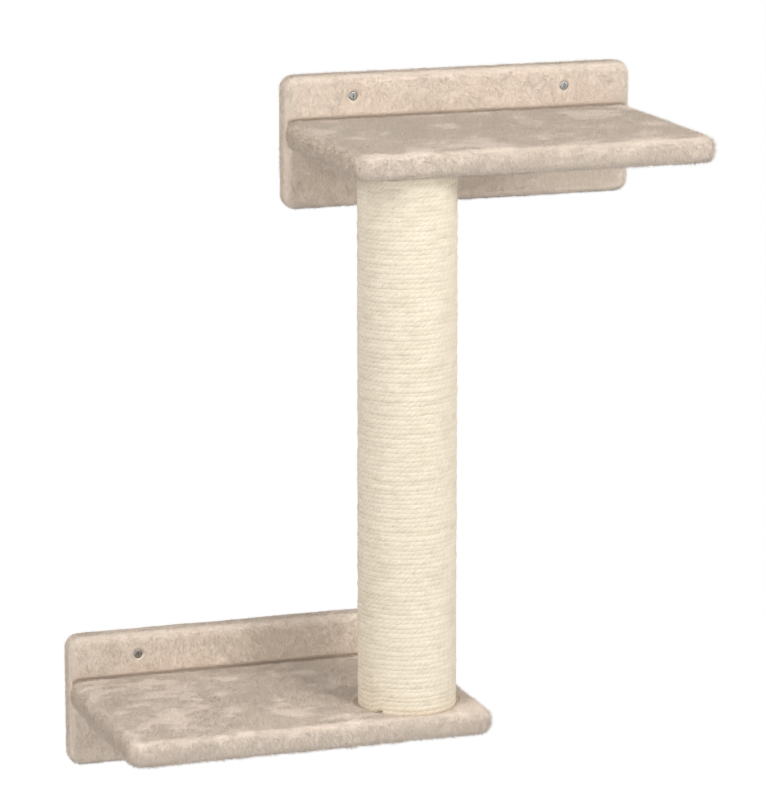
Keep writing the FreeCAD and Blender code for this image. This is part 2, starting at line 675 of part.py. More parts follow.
def make_lower_bolt():
    """Button-head bolt up through the lower shelf into the post."""
    seat = f"({UNITS['lower']['z']} + {SHELF_UNDER} - Sizes.washer_thick)"
    body = new_body("lower_post_bolt", POST_X, POST_Y, seat)
    head, height = "(Sizes.button_head / 2)", "Sizes.button_head_height"
    tip = "Sizes.bolt_length"
    profile = new_sketch(body, "XZ_Plane")
    draw_polygon(profile, [
        ("0", f"(-{height})"), (head, f"(-{height})"), (head, "0"), (BOLT_RADIUS, "0"),
        (BOLT_RADIUS, f"({tip} - Sizes.bolt_tip)"), (f"({BOLT_RADIUS} - Sizes.bolt_tip)", tip), ("0", tip),
    ])
    turned = add_turned(body, profile)
    add_fillet(body, turned, is_rim(head, "Z", f"(-{height})"), "Sizes.button_head_round")
    socket = new_sketch(body, "XY_Plane", f"(-{height})")
    draw_hexagon(socket, "Sizes.socket_width")
    add_pocket(body, socket, "Sizes.socket_depth")


def make_washer():
    seat = f"({UNITS['lower']['z']} + {SHELF_UNDER} - Sizes.washer_thick)"
    body = new_body("lower_post_washer", POST_X, POST_Y, seat)
    ring = new_sketch(body, "XY_Plane")
    draw_circle(ring, "0", "0", "(Sizes.washer_diameter / 2)")
    draw_circle(ring, "0", "0", BOLT_HOLE)
    add_pad(body, ring, "Sizes.washer_thick")


# The sisal rope, wound turn beside turn over the whole tube. It is one rope, kept as several
# lengths that meet end to end.

def biarc(start, start_way, end, end_way):
    """Two arcs that join two points and keep the ways given there."""
    chord = end - start
    ways = start_way + end_way
    spread = 2 * (1 - start_way.dot(end_way))
    along = chord.dot(ways)
    reach = (math.sqrt(along * along + spread * chord.dot(chord)) - along) / spread
    joint = (start + start_way * reach + end - end_way * reach) * 0.5
    return [tangent_arc(start, start_way, joint), tangent_arc(end, end_way * -1, joint, backwards=True)]


def tangent_arc(start, way, end, backwards=False):
    """The arc from start to end that leaves start along way, or the same arc run the other way."""
    chord = end - start
    across = chord - way * chord.dot(way)
    across.normalize()
    radius = chord.dot(chord) / (2 * chord.dot(across))
    centre = start + across * radius
    half = math.atan2(chord.dot(across), chord.dot(way))
    middle = centre - across * (radius * math.cos(half)) + way * (radius * math.sin(half))
    return Part.Arc(end, middle, start) if backwards else Part.Arc(start, middle, end)


def rope_point(radius, pitch, turns):
    """A point of the rope's middle line, and the way that the line runs there."""
    angle = math.radians(ROPE_START_DEGREES) + 2 * math.pi * turns
    place = Vector(radius * math.cos(angle), radius * math.sin(angle), pitch * turns)
    way = Vector(-radius * math.sin(angle), radius * math.cos(angle), pitch / (2 * math.pi))
    return place, way.normalize()


def least_gap(spine, turns, diameter):
    """The least space between turns of the rope, on points along its middle line."""
    points = spine.discretize(Number=turns * POINTS_PER_TURN + 1)
    half = POINTS_PER_TURN // 2
    nearest = min(
        first.distanceToPoint(second)
        for i, first in enumerate(points)
        for second in points[i + half:i + 3 * half + 1]
    )
    return nearest - diameter


def sweep_rope(radius, pitch, turns, diameter, start_run, end_run):
    """A length of rope of whole turns, with a straight run at a real end."""
    steps = [i / 2 for i in range(2 * turns + 1)]
    stations = [rope_point(radius, pitch, step) for step in steps]
    curves = []
    for (start, start_way), (end, end_way) in zip(stations, stations[1:]):
        curves += biarc(start, start_way, end, end_way)
    (first, first_way), (last, last_way) = stations[0], stations[-1]
    if start_run:
        curves.insert(0, Part.LineSegment(first - first_way * diameter, first))
        first = first - first_way * diameter
    if end_run:
        curves.append(Part.LineSegment(last, last + last_way * diameter))
    spine = Part.Wire([curve.toShape() for curve in curves])
    section = Part.Wire(Part.Circle(first, first_way, diameter / 2).toShape())
    rope = spine.makePipeShell([section], True, False)
    expected = math.pi * diameter * diameter / 4 * spine.Length
    if abs(rope.Volume / expected - 1) > VOLUME_ERROR_SHARE:
        raise RuntimeError("the rope's volume isn't its section times its length")
    gap = least_gap(spine, turns, diameter)
    print(f"rope: {turns} turns, least gap to itself {gap:.2f} mm, length {spine.Length:.0f} mm")
    if gap < LEAST_ROPE_GAP:
        raise RuntimeError("the rope's turns come too near each other")
    return rope


def make_rope():
    diameter = value("Sizes.rope_diameter")
    radius = value("Sizes.post_diameter / 2 - Sizes.rope_diameter / 2")
    wound = value("Sizes.post_length - Sizes.rope_diameter - 2 * Sizes.rope_end_gap")
    turns = int(wound / ROPE_SECTIONS / value("Sizes.rope_diameter + Sizes.rope_spacing"))
    pitch = wound / ROPE_SECTIONS / turns
    base = value(f"{POST_BOTTOM} + Sizes.rope_end_gap + Sizes.rope_diameter / 2")
    lengths = {}
    for number in range(1, ROPE_SECTIONS + 1):
        ends = (number == 1, number == ROPE_SECTIONS)
        if ends not in lengths:
            lengths[ends] = sweep_rope(radius, pitch, turns, diameter, *ends)
        length = doc.addObject("Part::Feature", f"sisal_rope_{number}")
        length.Label = f"sisal_rope_{number}"
        length.Shape = lengths[ends].copy()
        rise = base + (number - 1) * turns * pitch
        length.Placement = FreeCAD.Placement(Vector(value(POST_X), value(POST_Y), rise), FreeCAD.Rotation())
        subparts.append(length)


def write_parts():
    """Test every object of the document, then write each sub-part to a file of its own."""
    doc.recompute()
    failed = [item.Label for item in doc.Objects if {"Invalid", "Error"} & set(item.State)]
    if failed:
        raise RuntimeError(f"these objects failed: {failed}")
    for part in subparts:
        if part.Shape.isNull() or not part.Shape.isValid():
            raise RuntimeError(f"{part.Label} has no valid shape")
    os.makedirs("parts", exist_ok=True)
    for part in subparts:
        part.Shape.exportStep(f"parts/{part.Label}.step")
        print(f"{part.Label}: {len(part.Shape.Solids)} solids, {part.Shape.Volume:.1f} mm3")


for unit_name, unit_places in UNITS.items():
    make_back_board(unit_name, unit_places)
    make_shelf_board(unit_name, unit_places)
    make_back_cover(unit_name, unit_places)
    make_shelf_cover(unit_name, unit_places)
    make_wall_screws(unit_name, unit_places)
    make_shelf_screws(unit_name, unit_places)
    make_staples(unit_name, unit_places)
    make_plug(unit_name)
    make_nut(unit_name)
    make_nails(unit_name)
make_tube()
make_rope()
make_upper_bolt()
make_lower_bolt()
make_washer()
write_parts()
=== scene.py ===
"""Cat climbing wall: plush over two shelves and their back boards, and a post wound with sisal rope."""

import itertools
import math
from collections import namedtuple

import bpy
import numpy as np
from bpy.props import FloatProperty, FloatVectorProperty, IntProperty, PointerProperty
from mathutils import Matrix, Vector


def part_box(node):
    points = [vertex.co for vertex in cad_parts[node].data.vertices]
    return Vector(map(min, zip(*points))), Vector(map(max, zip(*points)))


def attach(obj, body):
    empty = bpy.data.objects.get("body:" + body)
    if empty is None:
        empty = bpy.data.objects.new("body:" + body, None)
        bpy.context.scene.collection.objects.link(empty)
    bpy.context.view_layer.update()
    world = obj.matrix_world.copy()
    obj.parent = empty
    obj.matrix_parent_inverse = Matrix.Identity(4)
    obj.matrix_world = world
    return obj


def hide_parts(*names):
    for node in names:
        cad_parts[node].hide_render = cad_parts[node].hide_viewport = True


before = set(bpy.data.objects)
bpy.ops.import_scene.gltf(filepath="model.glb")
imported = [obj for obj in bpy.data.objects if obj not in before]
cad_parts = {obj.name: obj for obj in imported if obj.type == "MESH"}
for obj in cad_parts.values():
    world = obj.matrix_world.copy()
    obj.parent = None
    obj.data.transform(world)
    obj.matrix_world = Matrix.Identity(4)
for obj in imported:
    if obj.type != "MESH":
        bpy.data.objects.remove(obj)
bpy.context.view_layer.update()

bl_info = {
    "name": "Cat Climbing Wall",
    "version": (1, 0, 0),
    "blender": (4, 5, 0),
    "location": "View3D > Sidebar > Cat Wall",
    "description": "Covers two wall shelves with plush and winds the post between them with sisal rope",
    "category": "Object",
}

MM = 0.001
BODY = "root"
UNITS = ("upper", "lower")
ROPE_SECTIONS = 5
X, Y, Z = range(3)
UP = np.array((0.0, 0.0, 1.0))
FRONT = np.array((0.0, -1.0, 0.0))
WHITE = (1.0, 1.0, 1.0)


# Settings

def length_setting(name, description, size):
    """A length that a user can change, in metres."""
    return FloatProperty(name=name, description=description, default=size, unit="LENGTH")


def angle_setting(name, description, degrees):
    """An angle that a user can change."""
    return FloatProperty(name=name, description=description, default=math.radians(degrees), subtype="ANGLE")


def colour_setting(name, description, colour):
    """A colour that a user can change."""
    return FloatVectorProperty(name=name, description=description, default=colour, subtype="COLOR")


def power_setting(name, description, watts):
    """A lamp's power that a user can change."""
    return FloatProperty(name=name, description=description, default=watts, unit="POWER")


class CatWallPlush(bpy.types.PropertyGroup):
    """Sizes and colours of the plush covers"""

    cover_height: length_setting("Cover height", "Outer face of the lying pile over the board", 3.6 * MM)
    cover_thickness: length_setting(
        "Cover thickness", "Thickness of the backing with the lying pile", 2.9 * MM)
    pressed_height: length_setting(
        "Pressed height", "Outer face where the post or a screw presses on the plush", 0.9 * MM)
    pressed_thickness: length_setting(
        "Pressed thickness", "Thickness of the plush where it is pressed or hemmed", 0.7 * MM)
    shelf_step: length_setting("Shelf mesh step", "Side of the mesh cells on a shelf", 2.0 * MM)
    back_step: length_setting("Back board mesh step", "Side of the mesh cells on a back board", 1.4 * MM)
    shelf_edge: length_setting("Shelf edge", "Radius of the plush along a shelf's edges", 9.8 * MM)
    shelf_corner: length_setting(
        "Shelf corner", "Radius of the shelf's front corners, seen from above", 13.5 * MM)
    back_edge: length_setting(
        "Back board edge", "Radius of the plush along a back board's front edges", 7.5 * MM)
    back_corner: length_setting(
        "Back board corner", "Radius of the back board's corners, seen from the front", 11.5 * MM)
    fold_round: length_setting("Fold round", "Radius of the fold into the hem at the wall", 2.0 * MM)
    hem_width: length_setting("Hem width", "Width of the plush folded onto the wall side", 12.0 * MM)
    waviness: length_setting("Waviness", "How far the plush lies off an even face", 0.25 * MM)
    pile_length: length_setting("Pile length", "Mean length of a standing fibre", 3.6 * MM)
    pile_radius: length_setting("Pile radius", "Half the width of a fibre at its root", 0.15 * MM)
    pile_density: FloatProperty(
        name="Pile density", description="Standing fibres on a square millimetre", default=1.5)
    pile_lean: angle_setting("Pile lean", "How far a fibre leans from upright", 60.0)
    root_colour: colour_setting("Root colour", "Colour deep in the pile", (0.80, 0.69, 0.585))
    tip_colour: colour_setting("Tip colour", "Colour at the tips of the pile", (0.91, 0.81, 0.705))
    # Painted sheen: brushed patches are painted paler, standing in for the light their turned pile catches
    brushed_sheen_colour: colour_setting(
        "Brushed colour", "Colour of patches brushed against the lay", (0.98, 0.865, 0.76))
    # Painted shade: a dark colour mixed into the creases where shelf and back board plush meet, standing in
    # for their shade
    crease_shade_colour: colour_setting(
        "Backing colour", "Colour of the cloth under the pile, seen in creases", (0.40, 0.33, 0.28))


class CatWallRope(bpy.types.PropertyGroup):
    """Sizes and colours of the sisal winding"""

    section_turns: IntProperty(
        name="Turns in a section", description="Turns of rope in each length", default=23)
    start_angle: angle_setting(
        "Start angle", "Where the lower end is cut, round from the right-hand side", 221.0)
    strands: IntProperty(name="Strands", description="Strands twisted into the rope", default=3)
    lay: length_setting("Lay length", "Length of one whole twist of the strands", 16.5 * MM)
    depth: length_setting("Rope depth", "Rope's size across the post's radius", 3.9 * MM)
    groove: FloatProperty(
        name="Groove", description="Depth of the grooves as a share of the rope's radius",
        default=0.18, subtype="FACTOR")
    wander: length_setting("Wander", "How far a turn strays from its even place", 0.32 * MM)
    colour: colour_setting("Sisal colour", "Main colour of the rope", (0.795, 0.705, 0.56))
    pale_colour: colour_setting("Pale fibre colour", "Colour of the palest fibres", (0.93, 0.85, 0.715))
    # Colour of dark fibres and specks, and also of the painted shade in the rope's grooves
    dark_fibre_and_groove_shade_colour: colour_setting(
        "Dark fibre colour", "Colour in the grooves and of dark fibres", (0.51, 0.43, 0.31))
    fibre_count: IntProperty(
        name="Loose fibres", description="Fibres that stand out of the rope", default=2600)


class CatWallStage(bpy.types.PropertyGroup):
    """Camera and light"""

    eye: FloatVectorProperty(
        name="Camera place", description="Where the camera stands",
        default=(-1.3408, -3.7181, 0.5658), subtype="XYZ", unit="LENGTH")
    yaw: angle_setting("Camera turn", "How far the camera looks to the right of the wall's normal", 18.897)
    pitch: angle_setting("Camera tilt", "How far the camera looks down", 12.361)
    lens: FloatProperty(
        name="Lens", description="Focal length in millimetres on a 36 mm frame", default=191.1)
    floor_level: length_setting("Floor level", "Height of the floor under the wall screws", -1.35)
    high_right_power: power_setting("High right lamp", "Power of the high lamp from the right", 20.5)
    high_left_power: power_setting("High left lamp", "Power of the high lamp from the left", 14.0)
    right_power: power_setting("Right lamp", "Power of the low lamp from the front right", 12.4)
    left_power: power_setting("Left lamp", "Power of the low lamp from the front left", 12.9)
    side_power: power_setting("Side lamp", "Power of the lamp from the right-hand side", 12.7)
    sky_base: FloatProperty(
        name="Even light", description="Strength of the light from all round", default=0.22)
    sky_left: FloatProperty(
        name="Left light", description="Strength of the soft light that is added from the left", default=0.48)
    sky_rear: FloatProperty(
        name="Rear light", description="Strength of the soft light that is added from behind", default=0.25)


# Arrays

TINY = 1e-12
NOISE_SIDE = 64
NOISE_SHIFT = 517.3
SPIKE_SIDES = 3
SPIKE_POINTS = SPIKE_SIDES + 1


def smooth_step(low, high, value):
    """0 below low, 1 above high, and a smooth rise between."""
    share = np.clip((value - low) / (high - low), 0.0, 1.0)
    return share * share * (3.0 - 2.0 * share)


def smooth_noise(points, cell, seed):
    """Smooth random values from -1 to 1 at the points, which change over about one cell."""
    table = np.random.default_rng(seed).uniform(-1.0, 1.0, (NOISE_SIDE,) * 3)
    place = points / cell + NOISE_SHIFT
    base = np.floor(place).astype(int)
    part = smooth_step(0.0, 1.0, place - base)
    total = np.zeros(len(points))
    for corner in itertools.product((0, 1), repeat=3):
        share = np.prod(np.where(corner, part, 1.0 - part), axis=1)
        index = (base + corner) % NOISE_SIDE
        total += share * table[index[:, X], index[:, Y], index[:, Z]]
    return total


def unit(vectors):
    """The vectors at length 1."""
    return vectors / np.maximum(np.linalg.norm(vectors, axis=-1, keepdims=True), TINY)


def dot(first, second):
    """Row by row products, as a column."""
    return np.sum(first * second, axis=-1, keepdims=True)


def vertex_normals(points, quads):
    """Smooth normals of a quad mesh."""
    across = points[quads[:, 2]] - points[quads[:, 0]]
    along = points[quads[:, 3]] - points[quads[:, 1]]
    faces = np.cross(across, along)
    normals = np.zeros_like(points)
    for corner in range(4):
        np.add.at(normals, quads[:, corner], faces)
    return unit(normals)


def box_cells(counts, sides):
    """Whole-number corners of the quads over some sides of a box that has counts cells each way."""
    found = []
    for axis, end in sides:
        first_axis, second_axis = [a for a in range(3) if a != axis]
        first, second = np.meshgrid(
            np.arange(counts[first_axis]), np.arange(counts[second_axis]), indexing="ij")
        corners = np.zeros(first.shape + (4, 3), int)
        corners[..., axis] = end * counts[axis]
        for number, (right, up) in enumerate(((0, 0), (1, 0), (1, 1), (0, 1))):
            corners[..., number, first_axis] = first + right
            corners[..., number, second_axis] = second + up
        if (end == 0) != (axis == Y):
            corners = corners[..., ::-1, :]
        found.append(corners.reshape(-1, 4, 3))
    return np.concatenate(found)


def weld(corners):
    """Shares equal corners of whole-number quads. Returns the points and the quads' indices."""
    side = int(corners.max()) + 1
    keys = corners[..., X] + side * (corners[..., Y] + side * corners[..., Z])
    kept, index = np.unique(keys.ravel(), return_inverse=True)
    points = np.stack([kept % side, kept // side % side, kept // side**2], axis=1)
    return points.astype(float), index.reshape(-1, 4)


def round_off(points, low, high, axis, corner, edges, open_side=None):
    """Rounds a box-shaped surface: corner is the radius of its outline, edges those along its two faces."""
    plan = [a for a in range(3) if a != axis]
    inner_low = low[plan] + corner
    inner_high = high[plan] - corner
    if open_side is not None:
        inner_high[plan.index(open_side)] = high[open_side]
    held = np.clip(points[:, plan], inner_low, inner_high)
    away = points[:, plan] - held
    ring = np.abs(away).max(axis=1)
    outward = unit(away)
    level = points[:, axis].copy()
    for sign, face, edge in ((-1, low[axis], edges[0]), (1, high[axis], edges[1])):
        rise = sign * (level - face) + edge
        out = ring - (corner - edge)
        bent = (rise > 0) & (out > 0)
        share = np.where(bent, np.maximum(rise, out) / np.maximum(np.hypot(rise, out), TINY), 1.0)
        level = np.where(bent, face + sign * (rise * share - edge), level)
        ring = np.where(bent, corner - edge + out * share, ring)
    rounded = points.copy()
    rounded[:, plan] = held + outward * ring[:, None]
    rounded[:, axis] = level
    return rounded


def spikes(roots, tips, across, radii, flatness):
    """Closed three-sided spikes from roots to tips. Returns their points and triangles."""
    along = unit(tips - roots)
    wide = unit(across - dot(across, along) * along)
    thick = np.cross(along, wide) * flatness
    corners = []
    for number in range(SPIKE_SIDES):
        turn = math.tau * number / SPIKE_SIDES + math.pi / 2
        corners.append(roots + radii[:, None] * (math.cos(turn) * wide + math.sin(turn) * thick))
    points = np.stack([*corners, tips], axis=1).reshape(-1, 3)
    faces = np.array(((0, 1, 3), (1, 2, 3), (2, 0, 3), (0, 2, 1)))
    triangles = (SPIKE_POINTS * np.arange(len(roots)))[:, None, None] + faces
    return points, triangles.reshape(-1, 3)


# Meshes and pieces

def make_mesh(name, points, *face_groups):
    """A smooth mesh from an array of points and arrays of faces, each with its own number of corners."""
    mesh = bpy.data.meshes.new(name)
    mesh.vertices.add(len(points))
    mesh.vertices.foreach_set("co", np.ascontiguousarray(points, np.float32).ravel())
    loops = np.concatenate([faces.ravel() for faces in face_groups])
    counts = np.concatenate([np.full(len(faces), faces.shape[1]) for faces in face_groups])
    starts = np.concatenate([[0], np.cumsum(counts)[:-1]])
    mesh.loops.add(len(loops))
    mesh.loops.foreach_set("vertex_index", loops.astype(np.int32))
    mesh.polygons.add(len(counts))
    mesh.polygons.foreach_set("loop_start", starts.astype(np.int32))
    mesh.update(calc_edges=True)
    mesh.shade_smooth()
    return mesh


def add_map(mesh, name, places):
    """Gives a mesh a UV map, with a place for each corner of its faces."""
    layer = mesh.uv_layers.new(name=name)
    layer.data.foreach_set("uv", places.astype(np.float32).ravel())


# A spike's four corners inside its own cell of the map, as shares of the cell
SPIKE_MAP_SHARES = np.array(((0.08, 0.08), (0.92, 0.08), (0.5, 0.34), (0.5, 0.94)))


def map_spikes(mesh, count):
    """Gives each spike its own cell of the UV map, so that its colours can be stored."""
    side = math.ceil(math.sqrt(count))
    cell = np.stack([np.arange(count) % side, np.arange(count) // side], axis=1)
    places = ((cell[:, None, :] + SPIKE_MAP_SHARES) / side).reshape(-1, 2)
    index = np.empty(len(mesh.loops), np.int32)
    mesh.loops.foreach_get("vertex_index", index)
    add_map(mesh, "OFBake", places[index])


def paint_points(mesh, name, values):
    """Stores three values at each vertex, for the material to read."""
    colours = np.ones((len(values), 4), np.float32)
    colours[:, :3] = values
    layer = mesh.color_attributes.new(name, "FLOAT_COLOR", "POINT")
    layer.data.foreach_set("color", colours.ravel())


def add_piece(mesh, material):
    """Shows a mesh as a piece of the object."""
    piece = bpy.data.objects.new(mesh.name, mesh)
    bpy.context.scene.collection.objects.link(piece)
    mesh.materials.append(material)
    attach(piece, BODY)
    return piece


# Nodes of a material or of the world, both called owner

# Numbers of a mix node's sockets for colours: its factor, its two colours and its result
MIX_FACTOR = 0
MIX_FIRST = 6
MIX_SECOND = 7
MIX_RESULT = 2


def add_node(owner, kind):
    """A new shader node of that kind."""
    return owner.node_tree.nodes.new(f"ShaderNode{kind}")


def feed(owner, socket, value):
    """Gives an input another socket's value, a plain number or a plain colour."""
    if isinstance(value, bpy.types.NodeSocket):
        owner.node_tree.links.new(value, socket)
    elif isinstance(value, (int, float)):
        socket.default_value = value
    else:
        socket.default_value = (*value, 1.0)


def combined(owner, operation, first, second):
    """Two values combined by a sum, product or maximum. Returns the result's socket."""
    node = add_node(owner, "Math")
    node.operation = operation
    feed(owner, node.inputs[0], first)
    feed(owner, node.inputs[1], second)
    return node.outputs["Value"]


def ranged(owner, value, low, high, to_low=0.0, to_high=1.0):
    """A socket's value carried from one range to another, held at the ends."""
    node = add_node(owner, "MapRange")
    feed(owner, node.inputs["Value"], value)
    feed(owner, node.inputs["From Min"], low)
    feed(owner, node.inputs["From Max"], high)
    feed(owner, node.inputs["To Min"], to_low)
    feed(owner, node.inputs["To Max"], to_high)
    return node.outputs["Result"]


def mix_colour(owner, factor, first, second, blend="MIX"):
    """A mix of two colours, each a plain colour or a socket. Returns the result's socket."""
    node = add_node(owner, "Mix")
    node.data_type = "RGBA"
    node.blend_type = blend
    feed(owner, node.inputs[MIX_FACTOR], factor)
    feed(owner, node.inputs[MIX_FIRST], first)
    feed(owner, node.inputs[MIX_SECOND], second)
    return node.outputs[MIX_RESULT]


def mix_shader(owner, factor, first, second, output):
    """Shows a mix of two shaders, the second where factor is 1."""
    node = add_node(owner, "MixShader")
    feed(owner, node.inputs[0], factor)
    feed(owner, node.inputs[1], first)
    feed(owner, node.inputs[2], second)
    feed(owner, output.inputs["Surface"], node.outputs["Shader"])


def noise(owner, scale, detail=2.0, place=None, stretch=None):
    """A noise texture in object space, or along another socket. Returns its value's socket."""
    node = add_node(owner, "TexNoise")
    feed(owner, node.inputs["Scale"], scale)
    feed(owner, node.inputs["Detail"], detail)
    if place is None:
        place = add_node(owner, "TexCoord").outputs["Object"]
    if stretch is not None:
        mapping = add_node(owner, "Mapping")
        mapping.inputs["Scale"].default_value = stretch
        feed(owner, mapping.inputs["Vector"], place)
        place = mapping.outputs["Vector"]
    feed(owner, node.inputs["Vector"], place)
    return node.outputs["Fac"]


def bump(owner, shader, height, strength, distance):
    """Drives the shader's normal from a height."""
    node = add_node(owner, "Bump")
    feed(owner, node.inputs["Strength"], strength)
    feed(owner, node.inputs["Distance"], distance)
    feed(owner, node.inputs["Height"], height)
    feed(owner, shader.inputs["Normal"], node.outputs["Normal"])


def stored_values(owner, name):
    """The three values stored at the vertices under that name."""
    attribute = add_node(owner, "Attribute")
    attribute.attribute_name = name
    split = add_node(owner, "SeparateColor")
    feed(owner, split.inputs["Color"], attribute.outputs["Color"])
    return list(split.outputs)[:3]


# Materials

CLOUD_TINT = (1.02, 0.985, 0.965)
CHIP_SCALE = 380.0
CHIP_DARK = (0.50, 0.34, 0.19)
CHIP_PALE = (0.72, 0.55, 0.35)
CHIP_DUST = (0.36, 0.23, 0.12)
WOOD_DARK = (0.62, 0.44, 0.26)
WOOD_PALE = (0.78, 0.61, 0.41)
PAPER_DARK = (0.40, 0.30, 0.20)
PAPER_PALE = (0.52, 0.41, 0.29)
GRAIN_DISTANCE = 0.2 * MM
ZINC = (0.33, 0.33, 0.32)
DARK_ZINC = (0.24, 0.24, 0.23)
ZINC_ROUGHNESS = 0.3
DARK_ZINC_ROUGHNESS = 0.42
METAL_SHADE = 0.82
METAL_ROUGHNESS_SPAN = 0.1


def new_material(name, roughness, specular=0.5):
    """A node material. Returns it and its shader."""
    material = bpy.data.materials.new(name)
    material.use_nodes = True
    shader = material.node_tree.nodes["Principled BSDF"]
    feed(material, shader.inputs["Roughness"], roughness)
    feed(material, shader.inputs["Specular IOR Level"], specular)
    return material, shader


def plush_colour(material, plush, depth, patch):
    """Plush from deep in the pile to its tips, paler where it is brushed as a painted sheen, with faint
    warmer clouds.
    """
    colour = mix_colour(material, depth, plush.root_colour, plush.tip_colour)
    colour = mix_colour(material, patch, colour, plush.brushed_sheen_colour)
    cloud = ranged(material, noise(material, scale=45.0, detail=3.0), low=0.35, high=0.65, to_high=0.35)
    warm = mix_colour(material, 1.0, colour, CLOUD_TINT, blend="MULTIPLY")
    return mix_colour(material, cloud, colour, warm)


def pile_material(plush):
    """Standing fibres, each a little lighter or darker than the next."""
    material, shader = new_material("plush_pile", roughness=0.8, specular=0.2)
    along, chance, patch = stored_values(material, "Pile")
    colour = plush_colour(material, plush, ranged(material, along, low=0.0, high=0.85), patch)
    shade = ranged(material, chance, low=0.0, high=1.0, to_low=0.72, to_high=1.15)
    colour = mix_colour(material, 1.0, colour, shade, blend="MULTIPLY")
    feed(material, shader.inputs["Base Color"], colour)
    return material


def cover_material(plush):
    """The lying pile: fine grain and short streaks along its lay, and painted shade darkening the creases."""
    material, shader = new_material("plush_cover", roughness=0.85, specular=0.15)
    crease, _, patch = stored_values(material, "Pile")
    grain = noise(material, scale=1150.0, detail=3.0)
    streaks = noise(material, scale=620.0, stretch=(1.0, 0.3, 0.3))
    halves = [ranged(material, part, low=0.3, high=0.7, to_high=0.5) for part in (grain, streaks)]
    depth = combined(material, "ADD", *halves)
    colour = plush_colour(material, plush, depth, patch)
    # Painted shade in the creases: the cover darkens towards the crease shade colour where its crease value
    # is high
    bare = ranged(material, crease, low=0.1, high=0.9, to_high=0.8)
    colour = mix_colour(material, bare, colour, plush.crease_shade_colour)
    feed(material, shader.inputs["Base Color"], colour)
    bump(material, shader, depth, strength=0.5, distance=0.35 * MM)
    return material


def sisal_material(rope):
    """Twisted sisal: fibres along each strand, painted shade in the grooves, pale and grey lengths and a few
    dark specks.
    """
    material, shader = new_material("sisal", roughness=0.7, specular=0.3)
    strand = add_node(material, "UVMap")
    strand.uv_map = "Strand"
    place = strand.outputs["UV"]
    crown, _, _ = stored_values(material, "Rope")
    fibres = noise(material, scale=1.0, detail=4.0, place=place, stretch=(260.0, 46.0, 1.0))
    lengths = noise(material, scale=1.0, detail=3.0, place=place, stretch=(46.0, 0.5, 1.0))
    specks = noise(material, scale=330.0, detail=1.0)
    pale = ranged(material, fibres, low=0.40, high=0.62)
    colour = mix_colour(material, pale, rope.colour, rope.pale_colour)
    dark_and_shade_shares = (
        ranged(material, lengths, low=0.44, high=0.70, to_high=0.28),
        # Painted shade: darker where the crown value is low, in the grooves between the strands
        ranged(material, crown, low=0.0, high=0.6, to_low=0.25, to_high=0.0),
        ranged(material, specks, low=0.73, high=0.78, to_high=0.6),
    )
    for share in dark_and_shade_shares:
        colour = mix_colour(material, share, colour, rope.dark_fibre_and_groove_shade_colour)
    feed(material, shader.inputs["Base Color"], colour)
    bump(material, shader, fibres, strength=0.4, distance=0.25 * MM)
    return material


def fibre_material(rope):
    """Single pale sisal fibres."""
    material, shader = new_material("sisal_fibre", roughness=0.65)
    pale = ranged(material, noise(material, scale=300.0), low=0.35, high=0.65)
    feed(material, shader.inputs["Base Color"], mix_colour(material, pale, rope.colour, rope.pale_colour))
    return material


def chipboard_material():
    """Pressed wood chips of mixed browns."""
    material, shader = new_material("chipboard", roughness=0.8)
    chips = add_node(material, "TexVoronoi")
    feed(material, chips.inputs["Scale"], CHIP_SCALE)
    feed(material, chips.inputs["Vector"], add_node(material, "TexCoord").outputs["Object"])
    tone = add_node(material, "SeparateColor")
    feed(material, tone.inputs["Color"], chips.outputs["Color"])
    colour = mix_colour(material, tone.outputs[0], CHIP_DARK, CHIP_PALE)
    dust = ranged(material, noise(material, scale=900.0, detail=3.0), low=0.45, high=0.7, to_high=0.5)
    feed(material, shader.inputs["Base Color"], mix_colour(material, dust, colour, CHIP_DUST))
    bump(material, shader, chips.outputs["Distance"], strength=0.35, distance=0.3 * MM)
    return material


def metal_material(name, colour, roughness):
    """Plated steel with fine uneven brightness."""
    material, shader = new_material(name, roughness)
    wear = noise(material, scale=650.0, detail=3.0)
    dull = [METAL_SHADE * part for part in colour]
    shade = mix_colour(material, ranged(material, wear, low=0.3, high=0.7), dull, colour)
    rough = ranged(
        material, wear, low=0.3, high=0.7, to_low=roughness + METAL_ROUGHNESS_SPAN, to_high=roughness)
    feed(material, shader.inputs["Base Color"], shade)
    feed(material, shader.inputs["Roughness"], rough)
    feed(material, shader.inputs["Metallic"], 1.0)
    return material


def grained_material(name, roughness, dark, pale, scale, stretch, strength):
    """Wood or paper with a plain grain of two colours."""
    material, shader = new_material(name, roughness)
    grain = noise(material, scale, detail=4.0, stretch=stretch)
    colour = mix_colour(material, ranged(material, grain, low=0.3, high=0.7), dark, pale)
    feed(material, shader.inputs["Base Color"], colour)
    bump(material, shader, grain, strength, GRAIN_DISTANCE)
    return material


def wood_material():
    """Plain softwood with its grain across the plug."""
    return grained_material(
        "plug_wood", roughness=0.65, dark=WOOD_DARK, pale=WOOD_PALE, scale=60.0, stretch=(1.0, 6.0, 1.0),
        strength=0.2)


def cardboard_material():
    """Grey-brown wound paper."""
    return grained_material(
        "cardboard", roughness=0.9, dark=PAPER_DARK, pale=PAPER_PALE, scale=160.0, stretch=(1.0, 1.0, 3.0),
        strength=0.15)


# Places in the frame

def node_box(name):
    """A node's low and high corners as arrays."""
    low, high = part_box(name)
    return np.array(low), np.array(high)


def middle(name):
    """The middle of a node's box."""
    low, high = node_box(name)
    return (low + high) / 2


def half_width(name):
    """Half a node's width, which is the radius of a round one."""
    low, high = node_box(name)
    return (high[X] - low[X]) / 2


# Places that something presses flat: the post, a washer or a screw's head

SEAT_MARGIN = 0.2 * MM
SEAT_REACH = 4.0 * MM
SEAT_FLATTENING = 0.4
SCREW_REACH = 1.2 * MM
SCREW_SHARE = 0.86
SCREW_FLATTENING = 0.15
WASHER_REACH = 5.0 * MM
WASHER_FLATTENING = 1.0
PRESS_FACING = 0.5

Press = namedtuple("Press", "centre axis radius reach flattening")


